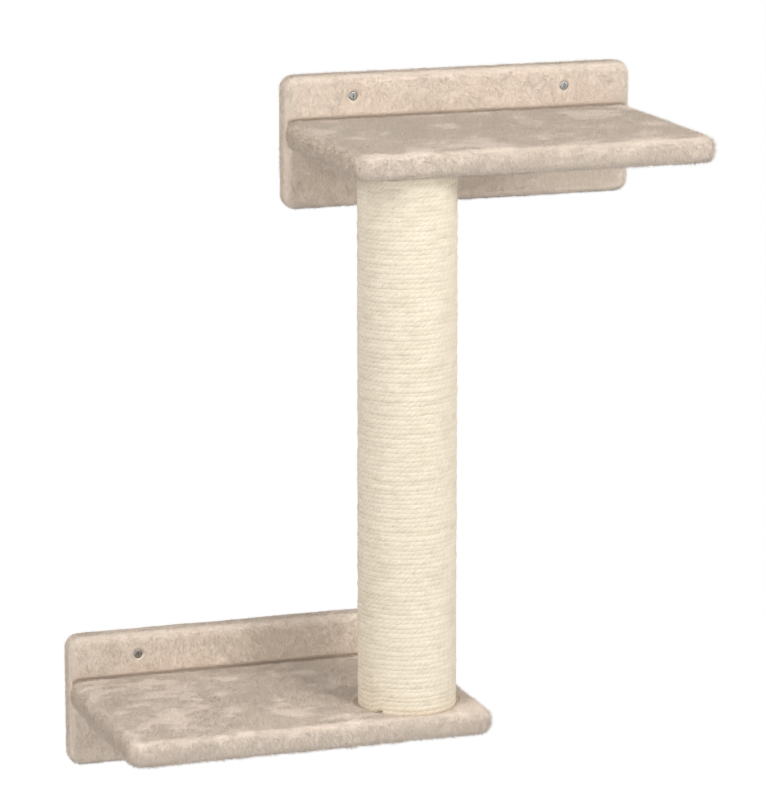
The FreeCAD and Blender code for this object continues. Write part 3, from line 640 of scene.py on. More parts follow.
def closeness(spot, points, normals):
    """1 inside a pressed place and 0 beyond its reach, whether inside, and the way from its middle."""
    offset = points - spot.centre
    radial = offset - (offset @ spot.axis)[:, None] * spot.axis
    distance = np.linalg.norm(radial, axis=1)
    facing = normals @ spot.axis > PRESS_FACING
    near = 1.0 - smooth_step(spot.radius, spot.radius + spot.reach, distance)
    return near * facing, (distance < spot.radius) & facing, unit(radial)


def shelf_presses(side):
    """What presses on a shelf's plush: the post, and under the lower shelf the washer of its bolt."""
    outward = -UP if side == "upper" else UP
    post_radius = half_width("sisal_rope_1") + SEAT_MARGIN
    seat = Press(middle("post_tube"), outward, post_radius, SEAT_REACH, SEAT_FLATTENING)
    if side == "upper":
        return [seat]
    washer = "lower_post_washer"
    washer_radius = half_width(washer) + SEAT_MARGIN
    return [seat, Press(middle(washer), -UP, washer_radius, WASHER_REACH, WASHER_FLATTENING)]


def back_presses(side):
    """The two wall screws' heads press on a back board's plush."""
    low, high = node_box(f"{side}_wall_screws")
    radius = (high[Z] - low[Z]) / 2
    spots = []
    for x in (low[X] + radius, high[X] - radius):
        centre = np.array((x, 0.0, (low[Z] + high[Z]) / 2))
        spots.append(Press(centre, FRONT, radius * SCREW_SHARE, SCREW_REACH, SCREW_FLATTENING))
    return spots


# Plush covers

# A face looks a way where its normal's share along that way is over this
FACING = 0.7
# The crease where a shelf's plush meets the back board's
GROOVE_DEPTH = 2.7 * MM
GROOVE_REACH = 5.0 * MM
HEM_CLEARANCE = 0.3 * MM
LEAST_CELLS = 4
WAVE_CELL = 38.0 * MM
RIPPLE_CELL = 13.0 * MM
RIPPLE_WEIGHT = 0.6
# Patches brushed against the lay, on the shelves' tops and faintly elsewhere: their pile is turned, and their
# paler colour is a painted sheen
PATCH_CELL = 26.0 * MM
FLECK_CELL = PATCH_CELL / 2.3
FLECK_WEIGHT = 0.7
STREAK_CELL = PATCH_CELL / 3.6
STREAK_WEIGHT = 0.6
STREAK_SHAPE = np.array((0.35, 1.0, 1.0))
TOP_BRUSHING = {"upper": 0.8, "lower": 1.0}
TOP_FACING = (0.5, 0.95)
SIDE_BRUSHING = 0.15
# More brushing towards the cover's front, whose paler colour is painted light where the top turns over its
# front edge
RIM_BRUSHING_AND_LIGHT = 0.3
RIM_REACH = 42.0 * MM
PATCH_LIMITS = (0.05, 0.85)
# Seeds of each cover, and the step from there to each of its patterns
SEEDS = {"upper": 100, "lower": 300}
BACK_SEED = 50
SEED_STEPS = {
    "wave": 0, "ripple": 1, "swirl": 11, "tuft": 12, "patch": 13, "fleck": 14, "lean": 15, "clump": 16,
    "streak": 17,
}

Cover = namedtuple("Cover", "name points quads normals thickness patch crease brushing")


def pattern(name, points, cell, seed):
    """One of a cover's own smooth random patterns at the points."""
    return smooth_noise(points, cell, seed + SEED_STEPS[name])


def brushed(points, normals, brushing, seed):
    """How far the pile at each point is brushed against its lay, from 0 to 1, which also sets the painted
    sheen of the paler patches.
    """
    blotch = pattern("patch", points, PATCH_CELL, seed)
    blotch = blotch + FLECK_WEIGHT * pattern("fleck", points, FLECK_CELL, seed)
    blotch = blotch + STREAK_WEIGHT * pattern("streak", points * STREAK_SHAPE, STREAK_CELL, seed)
    # Painted light: the pile is turned and painted paler within reach of the cover's front
    rim = 1.0 - smooth_step(0.0, RIM_REACH, points[:, Y] - points[:, Y].min())
    blotch = blotch + RIM_BRUSHING_AND_LIGHT * rim
    upward = smooth_step(*TOP_FACING, normals[:, Z])
    return smooth_step(*PATCH_LIMITS, blotch) * (SIDE_BRUSHING + (brushing - SIDE_BRUSHING) * upward)


def shaped_cover(name, low, high, plush, *, axis, sides, step, corner, edges, spots, seed, brushing, groove,
                 open_side=None, keep=None):
    """A plush cover's outer face, rounded, a little wavy and pressed in at its spots, with its thickness."""
    counts = np.maximum(np.round((high - low) / step), LEAST_CELLS).astype(int)
    points, quads = weld(box_cells(counts, sides))
    points = low + points * (high - low) / counts
    if keep is not None:
        quads = quads[keep(points[quads].mean(axis=1))]
        used, quads = np.unique(quads, return_inverse=True)
        points, quads = points[used], quads.reshape(-1, 4)
    points = round_off(points, low, high, axis, corner, edges, open_side)
    normals = vertex_normals(points, quads)
    crease = groove(points, normals)
    points = points - normals * (GROOVE_DEPTH * crease)[:, None]
    wave = pattern("wave", points, WAVE_CELL, seed)
    wave = wave + RIPPLE_WEIGHT * pattern("ripple", points, RIPPLE_CELL, seed)
    points = points + normals * (wave * plush.waviness)[:, None]
    thickness = np.where(normals[:, Y] > FACING, plush.pressed_thickness, plush.cover_thickness)
    thickness = np.maximum(thickness - GROOVE_DEPTH * crease, plush.pressed_thickness / 2)
    for spot in spots:
        near, _, _ = closeness(spot, points, normals)
        points = points - normals * (near * (plush.cover_height - plush.pressed_height))[:, None]
        thickness = thickness * (1 - near) + plush.pressed_thickness * near
    normals = vertex_normals(points, quads)
    patch = brushed(points, normals, brushing, seed)
    return Cover(name, points, quads, normals, thickness, patch, crease, brushing)


def crease_place(side, plush):
    """Where the shelf's plush meets the back board's, at the bottom of their crease."""
    return node_box(f"{side}_back_board")[0][Y] - plush.cover_height + GROOVE_DEPTH


def shelf_gap(side, plush, points):
    """How far points of the back board's face lie outside the shelf that stands on it."""
    low, high = node_box(f"{side}_shelf_board")
    centre, half = (low + high) / 2, (high - low) / 2 + plush.cover_height - plush.shelf_edge
    beyond = np.abs(points - centre)[:, [X, Z]] - half[[X, Z]]
    gap = np.linalg.norm(np.maximum(beyond, 0.0), axis=1) + np.minimum(beyond.max(axis=1), 0.0)
    return gap - plush.shelf_edge


def shelf_cover(side, plush, seed):
    """A shelf's cover: all round but for the rear, where it meets the back board."""
    low, high = node_box(f"{side}_shelf_board")
    low, high = low - plush.cover_height, high + plush.cover_height
    high[Y] = crease_place(side, plush)

    def shelf_groove(points, normals):
        return 1.0 - smooth_step(0.0, GROOVE_REACH, high[Y] - points[:, Y])

    return shaped_cover(
        f"{side}_shelf_plush", low, high, plush, axis=Z, sides=((X, 0), (X, 1), (Y, 0), (Z, 0), (Z, 1)),
        step=plush.shelf_step, corner=plush.shelf_corner, edges=(plush.shelf_edge, plush.shelf_edge),
        spots=shelf_presses(side), seed=seed, brushing=TOP_BRUSHING[side], groove=shelf_groove, open_side=Y)


def back_cover(side, plush, seed):
    """A back board's cover: front and edges, open behind the shelf, and a hem folded onto the wall side."""
    low, high = node_box(f"{side}_back_board")
    low, high = low - plush.cover_height, high + plush.cover_height
    high[Y] = -HEM_CLEARANCE
    shelf_low, shelf_high = node_box(f"{side}_shelf_board")

    def keep(centres):
        inner = (centres > shelf_low) & (centres < shelf_high)
        at_shelf = inner[:, X] & inner[:, Z] & (centres[:, Y] < low[Y] + HEM_CLEARANCE)
        rim = np.minimum(centres - low, high - centres)[:, [X, Z]].min(axis=1)
        bare = (centres[:, Y] > high[Y] - HEM_CLEARANCE) & (rim > plush.hem_width)
        return ~at_shelf & ~bare

    def back_groove(points, normals):
        gap = shelf_gap(side, plush, points)
        return (1.0 - smooth_step(0.0, GROOVE_REACH, gap)) * (normals[:, Y] < -FACING)

    return shaped_cover(
        f"{side}_back_plush", low, high, plush, axis=Y, sides=tuple(itertools.product((X, Y, Z), (0, 1))),
        step=plush.back_step, corner=plush.back_corner, edges=(plush.back_edge, plush.fold_round),
        spots=back_presses(side), seed=seed, brushing=SIDE_BRUSHING, groove=back_groove, keep=keep)


def thicken(cover):
    """Closes a cover's outer face into a cloth of its thickness. Returns its points and quads."""
    points, quads = cover.points, cover.quads
    count = len(points)
    inner = points - cover.normals * cover.thickness[:, None]
    edges = np.concatenate([quads[:, [k, (k + 1) % 4]] for k in range(4)])
    pairs = np.sort(edges, axis=1)
    _, first, uses = np.unique(pairs, axis=0, return_index=True, return_counts=True)
    rim = edges[first[uses == 1]]
    walls = np.stack([rim[:, 1], rim[:, 0], rim[:, 0] + count, rim[:, 1] + count], axis=1)
    return np.concatenate([points, inner]), np.concatenate([quads, quads[:, ::-1] + count, walls])


def cover_piece(cover, replaced):
    """Shows a cover's cloth in the place of its CAD solid."""
    mesh = make_mesh(cover.name, *thicken(cover))
    patch = np.tile(cover.patch, 2)
    crease = np.tile(cover.crease, 2)
    # Channel 0 carries the crease value, which the cover material turns into painted shade
    paint_points(mesh, "Pile", np.stack([crease, np.zeros_like(patch), patch], axis=1))
    piece = add_piece(mesh, bpy.data.materials["plush_cover"])
    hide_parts(replaced)
    return piece


# Standing pile: combed to the front and down, in swirls and small tufts

COMB = np.array((0.10, -1.0, -1.0))
SWIRL_CELL = 58.0 * MM
TUFT_CELL = 5.5 * MM
SWIRL_TURN = math.radians(18.0)
TUFT_TURN = math.radians(6.0)
STRAY_TURN = math.radians(32.0)
PATCH_TURN = math.radians(60.0)
TUFT_LEAN = math.radians(2.0)
STRAY_LEAN = math.radians(14.0)
PATCH_LEAN = math.radians(3.0)
PRESSED_LEAN = math.radians(80.0)
CLUMP_CELL = 8.0 * MM
CLUMP_GAIN = 0.28
LENGTH_SHARES = (0.78, 1.2)
WIDTH_SHARES = (0.75, 1.25)
LEAST_SHARE = 0.04
ROOT_SINK = 0.3 * MM
PILE_FLATNESS = 0.6
# How far a fibre is shaded like the face that it stands on, where that face looks to the front or up
FACE_SHADING = 0.45
SHADING_FACING = (0.1, 0.6)
SHADING_TOP_WEIGHT = 0.5
# Length of the pile in the crease, on the hem and where a face turns into an edge
CREASE_REACH = 7.0 * MM
CREASE_SHARE = 0.15
CREASE_OVERLAP = 1.5 * MM
HEM_SHARE = 0.0
FOLD_FACING = 0.15
EDGE_FACING = (0.6, 0.98)
SHELF_EDGE_GAIN = 0.45
BACK_EDGE_GAIN = -0.1
# Undersides have fewer fibres
UNDER_DENSITY_SHARE = 0.4
UNDER_FACING = 0.96

Tufts = namedtuple("Tufts", "roots tips across radii values normals")


def scatter(cover, density, chance):
    """Random places evenly over a cover, with their normals."""
    points, quads = cover.points, cover.quads
    triangles = np.concatenate([quads[:, [0, 1, 2]], quads[:, [0, 2, 3]]])
    first, second, third = (points[triangles[:, k]] for k in range(3))
    area = np.linalg.norm(np.cross(second - first, third - first), axis=1) / 2
    count = int(area.sum() * density)
    chosen = chance.choice(len(triangles), count, p=area / area.sum())
    along, up = chance.random((2, count, 1))
    over = along + up > 1
    along, up = np.where(over, 1 - along, along), np.where(over, 1 - up, up)
    shares = (1 - along - up, along, up)
    place = sum(share * points[triangles[chosen, k]] for k, share in enumerate(shares))
    normal = sum(share * cover.normals[triangles[chosen, k]] for k, share in enumerate(shares))
    return place, unit(normal)


def comb_pile(cover, spots, share_at, plush, seed):
    """The tufts over a cover, combed along its lay and away from what presses on it."""
    chance = np.random.default_rng(seed)
    place, normal = scatter(cover, plush.pile_density / MM**2, chance)
    share = share_at(place, normal)
    pressed = np.zeros(len(place))
    aside = np.zeros_like(place)
    for spot in spots:
        near, inside, away = closeness(spot, place, normal)
        share = np.where(inside, 0.0, share)
        near = near * spot.flattening
        nearer = near > pressed
        pressed = np.where(nearer, near, pressed)
        aside = np.where(nearer[:, None], away, aside)
    kept = share > LEAST_SHARE
    place, normal, share, pressed, aside = (values[kept] for values in (place, normal, share, pressed, aside))
    count = len(place)
    patch = brushed(place, normal, cover.brushing, seed)
    turn = SWIRL_TURN * pattern("swirl", place, SWIRL_CELL, seed) + PATCH_TURN * patch
    turn = turn + TUFT_TURN * pattern("tuft", place, TUFT_CELL, seed)
    turn = turn + STRAY_TURN * chance.standard_normal(count)
    lay = unit(COMB - dot(COMB, normal) * normal)
    lay = lay * np.cos(turn)[:, None] + np.cross(normal, lay) * np.sin(turn)[:, None]
    lay = unit(lay * (1 - pressed)[:, None] + aside * pressed[:, None])
    lean = plush.pile_lean + TUFT_LEAN * pattern("lean", place, TUFT_CELL, seed)
    lean = lean + STRAY_LEAN * chance.standard_normal(count) - PATCH_LEAN * patch
    lean = np.clip(lean * (1 - pressed) + PRESSED_LEAN * pressed, 0.0, PRESSED_LEAN)
    length = plush.pile_length * share * chance.uniform(*LENGTH_SHARES, count)
    length = length * (1.0 + CLUMP_GAIN * pattern("clump", place, CLUMP_CELL, seed))
    heading = normal * np.cos(lean)[:, None] + lay * np.sin(lean)[:, None]
    tips = place + heading * length[:, None]
    radii = plush.pile_radius * chance.uniform(*WIDTH_SHARES, count) * np.sqrt(share)
    values = np.stack([np.zeros(count), chance.random(count), patch], axis=1)
    return Tufts(place - ROOT_SINK * normal, tips, np.cross(normal, lay), radii, values, normal)


def pile_piece(name, tufts, material):
    """One piece of pile, shaded partly like the face that its tufts stand on."""
    points, triangles = spikes(tufts.roots, tufts.tips, tufts.across, tufts.radii, PILE_FLATNESS)
    mesh = make_mesh(name, points, triangles)
    own = np.empty((len(points), 3), np.float32)
    mesh.vertices.foreach_get("normal", own.ravel())
    looking = SHADING_TOP_WEIGHT * np.abs(tufts.normals[:, Z]) - tufts.normals[:, Y]
    share = FACE_SHADING * np.repeat(smooth_step(*SHADING_FACING, looking), SPIKE_POINTS)[:, None]
    soft = unit(share * np.repeat(tufts.normals, SPIKE_POINTS, axis=0) + (1 - share) * own)
    mesh.normals_split_custom_set_from_vertices(soft)
    map_spikes(mesh, len(tufts.roots))
    stored = np.repeat(tufts.values, SPIKE_POINTS, axis=0)
    stored[SPIKE_SIDES::SPIKE_POINTS, 0] = 1.0
    paint_points(mesh, "Pile", stored)
    return add_piece(mesh, material)


def split_pile(name, tufts, chosen, parts):
    """Splits the chosen tufts from left to right into equal named groups, to keep each piece small."""
    place = tufts.roots[:, X]
    limits = np.quantile(place[chosen], np.arange(1, len(parts)) / len(parts))
    number = np.searchsorted(limits, place)
    return {f"{name}_{part}_pile": chosen & (number == index) for index, part in enumerate(parts)}


def pile_pieces(groups, tufts):
    """A piece of pile for each named group of tufts."""
    material = bpy.data.materials["plush_pile"]
    return [
        pile_piece(name, Tufts(*(values[chosen] for values in tufts)), material)
        for name, chosen in groups.items()
    ]


def edge_gain(across, gain):
    """Longer or shorter pile where a face turns into an edge, from the normals' share across the board."""
    return 1.0 + gain * (1.0 - smooth_step(*EDGE_FACING, np.abs(across)))


def shelf_share(side, plush):
    """Length of a shelf's pile as a share: longer on the edges, shorter in the crease at the back board."""
    rear = crease_place(side, plush)

    def share_at(place, normal):
        crease = CREASE_SHARE + (1 - CREASE_SHARE) * smooth_step(0.0, CREASE_REACH, rear - place[:, Y])
        return crease * edge_gain(normal[:, Z], SHELF_EDGE_GAIN)

    return share_at


def back_share(side, plush):
    """Length of a back board's pile as a share: none behind the shelf or on the hem, short on the edges."""

    def share_at(place, normal):
        gap = shelf_gap(side, plush, place)
        crease = CREASE_SHARE + (1 - CREASE_SHARE) * smooth_step(0.0, CREASE_REACH, gap)
        crease = np.where(gap < -CREASE_OVERLAP, 0.0, crease)
        share = np.where(normal[:, Y] > FOLD_FACING, HEM_SHARE, edge_gain(normal[:, Y], BACK_EDGE_GAIN))
        return np.where(normal[:, Y] < -FACING, crease, share)

    return share_at


class OBJECT_OT_cat_wall_plush_finish(bpy.types.Operator):
    """Make the plush materials"""

    bl_idname = "object.cat_wall_plush_finish"
    bl_label = "Plush materials"
    bl_options = {"REGISTER", "UNDO"}

    def execute(self, context):
        plush = context.scene.cat_wall_plush
        pile_material(plush)
        cover_material(plush)
        return {"FINISHED"}


class OBJECT_OT_cat_wall_shelf_plush(bpy.types.Operator):
    """Cover both shelves with plush"""

    bl_idname = "object.cat_wall_shelf_plush"
    bl_label = "Shelf plush"
    bl_options = {"REGISTER", "UNDO"}

    def execute(self, context):
        plush = context.scene.cat_wall_plush
        for side in UNITS:
            seed = SEEDS[side]
            cover = shelf_cover(side, plush, seed)
            piece = cover_piece(cover, f"{side}_shelf_cover")
            tufts = comb_pile(cover, shelf_presses(side), shelf_share(side, plush), plush, seed)
            upward = tufts.normals[:, Z]
            below = upward < -UNDER_FACING
            thinned = np.random.default_rng(seed).random(len(upward)) < UNDER_DENSITY_SHARE
            groups = split_pile(f"{side}_shelf_top", tufts, upward > FACING, ("left", "middle", "right"))
            groups[f"{side}_shelf_under_pile"] = below & thinned
            groups[f"{side}_shelf_edge_pile"] = (upward <= FACING) & ~below
            piles = pile_pieces(groups, tufts)
        return {"FINISHED"}


class OBJECT_OT_cat_wall_back_plush(bpy.types.Operator):
    """Cover both back boards with plush, hemmed on the wall side"""

    bl_idname = "object.cat_wall_back_plush"
    bl_label = "Back board plush"
    bl_options = {"REGISTER", "UNDO"}

    def execute(self, context):
        plush = context.scene.cat_wall_plush
        for side in UNITS:
            seed = SEEDS[side] + BACK_SEED
            cover = back_cover(side, plush, seed)
            piece = cover_piece(cover, f"{side}_back_cover")
            tufts = comb_pile(cover, back_presses(side), back_share(side, plush), plush, seed)
            everywhere = np.full(len(tufts.roots), True)
            piles = pile_pieces(split_pile(f"{side}_back", tufts, everywhere, ("left", "right")), tufts)
        return {"FINISHED"}


# Sisal winding

ROPE_RINGS = 200
LOBE_POINTS = 6
TOUCH_SHARE = 1.7
# The rope lies unevenly: it strays up and down, swells outwards, and its twist and fullness vary
WANDER_CELLS = (150.0 * MM, 45.0 * MM)
RISE_SHARE = 0.5
RISE_SEED = 31
SWELL_SHARE = 1.1
SWELL_SEED = 41
TWIST_STRAY = math.radians(75.0)
TWIST_CELL = 11.0 * MM
TWIST_SEED = 51
FULLNESS_SHARE = 0.13
FULLNESS_CELL = 8.0 * MM
FULLNESS_SEED = 61
# The lowest turns lie level, and step up where the rope's end is cut
LEVEL_TURNS = 14.0
STEP_TURN = 0.05
# Each turn fills this share of its row of the UV map, and the caps lie in the rest
ROW_SHARE = 0.97
CAP_ROW_START = 0.975
CAP_ROW_SHARE = 0.02
CAP_MAP_SHARES = np.array(((0.001, 0.0), (0.004, 0.0), (0.002, 1.0)))

RopePath = namedtuple("RopePath", "centre outward length twist fullness pitch")


def rope_path(turn, rope):
    """The rope at counts of turns: its middle, the way outwards, its length, twist, fullness and pitch."""
    low = node_box("sisal_rope_1")[0]
    high = node_box(f"sisal_rope_{ROPE_SECTIONS}")[1]
    turns = rope.section_turns * ROPE_SECTIONS
    pitch = (high[Z] - low[Z] - rope.depth) / turns
    radius = half_width("sisal_rope_1") - rope.depth / 2
    length = turn * math.tau * radius
    along = np.stack([length, np.zeros_like(length), np.zeros_like(length)], axis=1)

    def wander(seed):
        return sum(smooth_noise(along, cell, seed + number) for number, cell in enumerate(WANDER_CELLS))

    ease = smooth_step(0.0, 1.0, turn) * smooth_step(0.0, 1.0, turns - turn)
    part = turn % 1.0
    stepped = smooth_step(1.0 - STEP_TURN, 1.0, part) - part
    level = np.clip(1.0 - turn / LEVEL_TURNS, 0.0, 1.0)
    rise = RISE_SHARE * rope.wander * ease * wander(RISE_SEED) + pitch * level * stepped
    swell = SWELL_SHARE * rope.wander * wander(SWELL_SEED)
    angle = rope.start_angle + math.tau * turn
    outward = np.stack([np.cos(angle), np.sin(angle), np.zeros_like(angle)], axis=1)
    centre = middle("post_tube") + outward * (radius + swell)[:, None]
    centre[:, Z] = low[Z] + rope.depth / 2 + pitch * turn + rise
    twist = math.tau * length / rope.lay + TWIST_STRAY * smooth_noise(along, TWIST_CELL, TWIST_SEED)
    fullness = 1.0 + FULLNESS_SHARE * smooth_noise(along, FULLNESS_CELL, FULLNESS_SEED)
    return RopePath(centre, outward, length, twist, fullness, pitch)


def lobe_outline(rope):
    """The rope's outline, one round lobe to each strand. Returns its angles, radii and crowns."""
    count = rope.strands * LOBE_POINTS
    angle = math.tau * np.arange(count) / count
    crown = np.sqrt(np.abs(np.cos(rope.strands * angle / 2)))
    return angle, 1.0 - rope.groove * (1.0 - crown), crown


def tube_faces(rings, count):
    """Quads along a tube of rings, and the triangles of its caps, whose middle points come last."""
    ring, spot = np.meshgrid(np.arange(rings), np.arange(count), indexing="ij")
    after = (spot + 1) % count
    near, far = ring * count, (ring + 1) * count
    quads = np.stack([near + spot, near + after, far + after, far + spot], axis=-1).reshape(-1, 4)
    around, beside = spot[0], after[0]
    top = rings * count
    low_middle = top + count
    low_cap = np.stack([np.full(count, low_middle), beside, around], axis=1)
    high_cap = np.stack([np.full(count, low_middle + 1), top + around, top + beside], axis=1)
    return quads, np.concatenate([low_cap, high_cap])


def cell_corners(first, last, low, high):
    """Corners of map cells in the order of the quads' corners."""
    pairs = ((first, low), (first, high), (last, high), (last, low))
    return np.stack([np.stack(pair, axis=-1) for pair in pairs], axis=-2).reshape(-1, 2)


def map_winding(mesh, length, count, turns):
    """Maps a length of rope along its strands, and in rows of one turn each to store its colours."""
    ring, spot = np.meshgrid(np.arange(len(length) - 1), np.arange(count), indexing="ij")
    caps = 2 * count
    strands = cell_corners(length[ring], length[ring + 1], spot / count, (spot + 1) / count)
    add_map(mesh, "Strand", np.concatenate([strands, np.zeros((3 * caps, 2))]))
    left = ring % ROPE_RINGS / ROPE_RINGS
    low, high = ((ring // ROPE_RINGS + ROW_SHARE * side / count) / turns for side in (spot, spot + 1))
    rows = cell_corners(left, left + 1 / ROPE_RINGS, low, high)
    cap = (CAP_MAP_SHARES * (1.0, CAP_ROW_SHARE) + (0.0, CAP_ROW_START)) / (1.0, turns)
    add_map(mesh, "OFBake", np.concatenate([rows, np.tile(cap, (caps, 1))]))


def wind_section(section, rope, material):
    """One length of rope as a piece, in the place of its CAD node."""
    rings = rope.section_turns * ROPE_RINGS
    path = rope_path(rope.section_turns * section + np.arange(rings + 1) / ROPE_RINGS, rope)
    angle, radii, crown = lobe_outline(rope)
    count = len(angle)
    radii = path.fullness[:, None] * radii
    round_angle = angle + path.twist[:, None]
    out = np.cos(round_angle) * radii * rope.depth / 2
    points = path.centre[:, None, :] + out[..., None] * path.outward[:, None, :]
    points[..., Z] += np.sin(round_angle) * radii * path.pitch / 2 * TOUCH_SHARE
    points = np.concatenate([points.reshape(-1, 3), path.centre[[0, -1]]])
    mesh = make_mesh(f"sisal_winding_{section + 1}", points, *tube_faces(rings, count))
    values = np.zeros((len(points), 3))
    values[:-2, 0] = np.tile(crown, rings + 1)
    paint_points(mesh, "Rope", values)
    map_winding(mesh, path.length, count, rope.section_turns)
    piece = add_piece(mesh, material)
    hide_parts(f"sisal_rope_{section + 1}")
    return piece


class OBJECT_OT_cat_wall_rope(bpy.types.Operator):
    """Wind the post with twisted sisal rope"""

    bl_idname = "object.cat_wall_rope"
    bl_label = "Sisal rope"
    bl_options = {"REGISTER", "UNDO"}

    def execute(self, context):
        rope = context.scene.cat_wall_rope
        material = sisal_material(rope)
        for section in range(ROPE_SECTIONS):
            wind_section(section, rope, material)
        return {"FINISHED"}


# Loose fibres: places as shares of half the rope's depth, directions as shares of the way along it
FIBRE_SEED = 77
FIBRE_RADIUS = 0.09 * MM
FIBRE_LENGTH = 5.0 * MM
FIBRE_LENGTH_SHARES = (0.4, 1.4)
FIBRE_FLATNESS = 1.0
FIBRE_END_TURNS = 0.3
FIBRE_HEIGHT_SHARE = 0.7
FIBRE_ROOT_SHARE = 0.9
FIBRE_RISE_SHARE = 0.9
FIBRE_STAND_SHARES = (0.05, 0.55)


class OBJECT_OT_cat_wall_fibres(bpy.types.Operator):
    """Let loose fibres stand out of the rope"""

    bl_idname = "object.cat_wall_fibres"
    bl_label = "Loose sisal fibres"
    bl_options = {"REGISTER", "UNDO"}

    def execute(self, context):
        rope = context.scene.cat_wall_rope
        chance = np.random.default_rng(FIBRE_SEED)
        count = rope.fibre_count
        turns = rope.section_turns * ROPE_SECTIONS
        turn = np.sort(chance.uniform(FIBRE_END_TURNS, turns - FIBRE_END_TURNS, count))
        path = rope_path(turn, rope)
        height = chance.uniform(-FIBRE_HEIGHT_SHARE, FIBRE_HEIGHT_SHARE, count)[:, None] * UP
        surface = path.outward * np.sqrt(1 - (height**2).sum(axis=1))[:, None] + height
        roots = path.centre + surface * rope.depth / 2 * FIBRE_ROOT_SHARE
        along = np.cross(UP, path.outward) * chance.choice((-1.0, 1.0), count)[:, None]
        stand = path.outward * chance.uniform(*FIBRE_STAND_SHARES, count)[:, None]
        heading = unit(along + height * FIBRE_RISE_SHARE + stand)
        tips = roots + heading * (FIBRE_LENGTH * chance.uniform(*FIBRE_LENGTH_SHARES, count))[:, None]
        points, triangles = spikes(roots, tips, path.outward, np.full(count, FIBRE_RADIUS), FIBRE_FLATNESS)
        mesh = make_mesh("sisal_fibres", points, triangles)
        map_spikes(mesh, count)
        add_piece(mesh, fibre_material(rope))
        return {"FINISHED"}


# Finishes of the solid parts

class OBJECT_OT_cat_wall_hardware(bpy.types.Operator):
    """Give the boards, screws, staples, bolts, tube and plugs their finishes"""

    bl_idname = "object.cat_wall_hardware"
    bl_label = "Boards and hardware"
    bl_options = {"REGISTER", "UNDO"}

    def execute(self, context):
        zinc = metal_material("zinc", ZINC, ZINC_ROUGHNESS)
        dark_zinc = metal_material("dark_zinc", DARK_ZINC, DARK_ZINC_ROUGHNESS)
        endings = {
            "board": chipboard_material(), "post_plug": wood_material(), "post_tube": cardboard_material(),
            "wall_screws": zinc, "staples": zinc, "post_bolt": zinc, "post_washer": zinc,
            "shelf_screws": dark_zinc, "post_nut": dark_zinc, "plug_nails": dark_zinc,
        }
        for name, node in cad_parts.items():
            for ending, material in endings.items():
                if name.endswith(ending):
                    node.data.materials.clear()
                    node.data.materials.append(material)
        return {"FINISHED"}


# Stage

FLOOR_SIDE = 30.0
FLOOR_COLOUR = (0.9, 0.9, 0.9)
FLOOR_GLOW = 0.85
FLOOR_GLOW_STRENGTH = 1.12
LAMP_TARGET = Vector((-0.106, -0.10, -0.28))
LAMP_DISTANCE = 2.6
SMALL_LAMP = 0.45
WIDE_LAMP = 0.80
WARM = (1.0, 0.955, 0.91)

# Each lamp's azimuth counts to the right of the front, in degrees
Lamp = namedtuple("Lamp", "name azimuth elevation side colour")
LAMPS = (
    Lamp("high_right", azimuth=22.0, elevation=45.0, side=WIDE_LAMP, colour=WARM),
    Lamp("high_left", azimuth=-60.0, elevation=45.0, side=WIDE_LAMP, colour=WARM),
    Lamp("right", azimuth=20.7, elevation=12.0, side=SMALL_LAMP, colour=WHITE),
    Lamp("left", azimuth=-34.0, elevation=6.0, side=SMALL_LAMP, colour=WHITE),
    Lamp("side", azimuth=65.0, elevation=20.0, side=SMALL_LAMP, colour=WHITE),
)


def add_lamp(lamp, power):
    """A soft square lamp aimed at the object."""
    turn, rise = math.radians(lamp.azimuth), math.radians(lamp.elevation)
    way = Vector((math.sin(turn) * math.cos(rise), -math.cos(turn) * math.cos(rise), math.sin(rise)))
    data = bpy.data.lights.new(f"{lamp.name}_lamp", "AREA")
    data.energy = power
    data.color = lamp.colour
    data.size = lamp.side
    light = bpy.data.objects.new(data.name, data)
    light.location = LAMP_TARGET + way * LAMP_DISTANCE
    light.rotation_euler = (-way).to_track_quat("-Z", "Y").to_euler()
    bpy.context.scene.collection.objects.link(light)


def seen_past(owner):
    """1 for camera, glossy and transmission rays."""
    path = add_node(owner, "LightPath")
    total = path.outputs["Is Camera Ray"]
    for name in ("Is Glossy Ray", "Is Transmission Ray"):
        total = combined(owner, "MAXIMUM", total, path.outputs[name])
    return total


def background(world, strength):
    """White light from the world. Returns its socket."""
    node = add_node(world, "Background")
    feed(world, node.inputs["Color"], WHITE)
    feed(world, node.inputs["Strength"], strength)
    return node.outputs["Background"]


def studio_world(stage):
    """Light from all round, stronger from the left and behind, and white where the camera looks past."""
    world = bpy.data.worlds.new("studio")
    world.use_nodes = True
    world.node_tree.nodes.clear()
    way = add_node(world, "SeparateXYZ")
    feed(world, way.inputs["Vector"], add_node(world, "TexCoord").outputs["Generated"])
    left = ranged(
        world, way.outputs["X"], low=0.0, high=-1.0, to_low=stage.sky_base,
        to_high=stage.sky_base + stage.sky_left)
    rear = ranged(world, way.outputs["Y"], low=0.0, high=1.0, to_high=stage.sky_rear)
    light = background(world, combined(world, "ADD", left, rear))
    mix_shader(world, seen_past(world), light, background(world, 1.0), add_node(world, "OutputWorld"))
    return world


def floor_material():
    """White floor that keeps the object's shadow."""
    material, shader = new_material("floor", roughness=0.9, specular=0.0)
    feed(material, shader.inputs["Base Color"], FLOOR_COLOUR)
    glow = add_node(material, "Emission")
    feed(material, glow.inputs["Color"], WHITE)
    feed(material, glow.inputs["Strength"], FLOOR_GLOW_STRENGTH)
    share = combined(material, "MULTIPLY", seen_past(material), FLOOR_GLOW)
    output = material.node_tree.nodes["Material Output"]
    mix_shader(material, share, shader.outputs["BSDF"], glow.outputs["Emission"], output)
    return material


def add_floor(level):
    """A plain pale floor under the object."""
    half = FLOOR_SIDE / 2
    corners = np.array(((-half, -half, 0), (half, -half, 0), (half, half, 0), (-half, half, 0)))
    floor = bpy.data.objects.new("floor", make_mesh("floor", corners, np.array(((0, 1, 2, 3),))))
    floor.location.z = level
    floor.data.materials.append(floor_material())
    bpy.context.scene.collection.objects.link(floor)


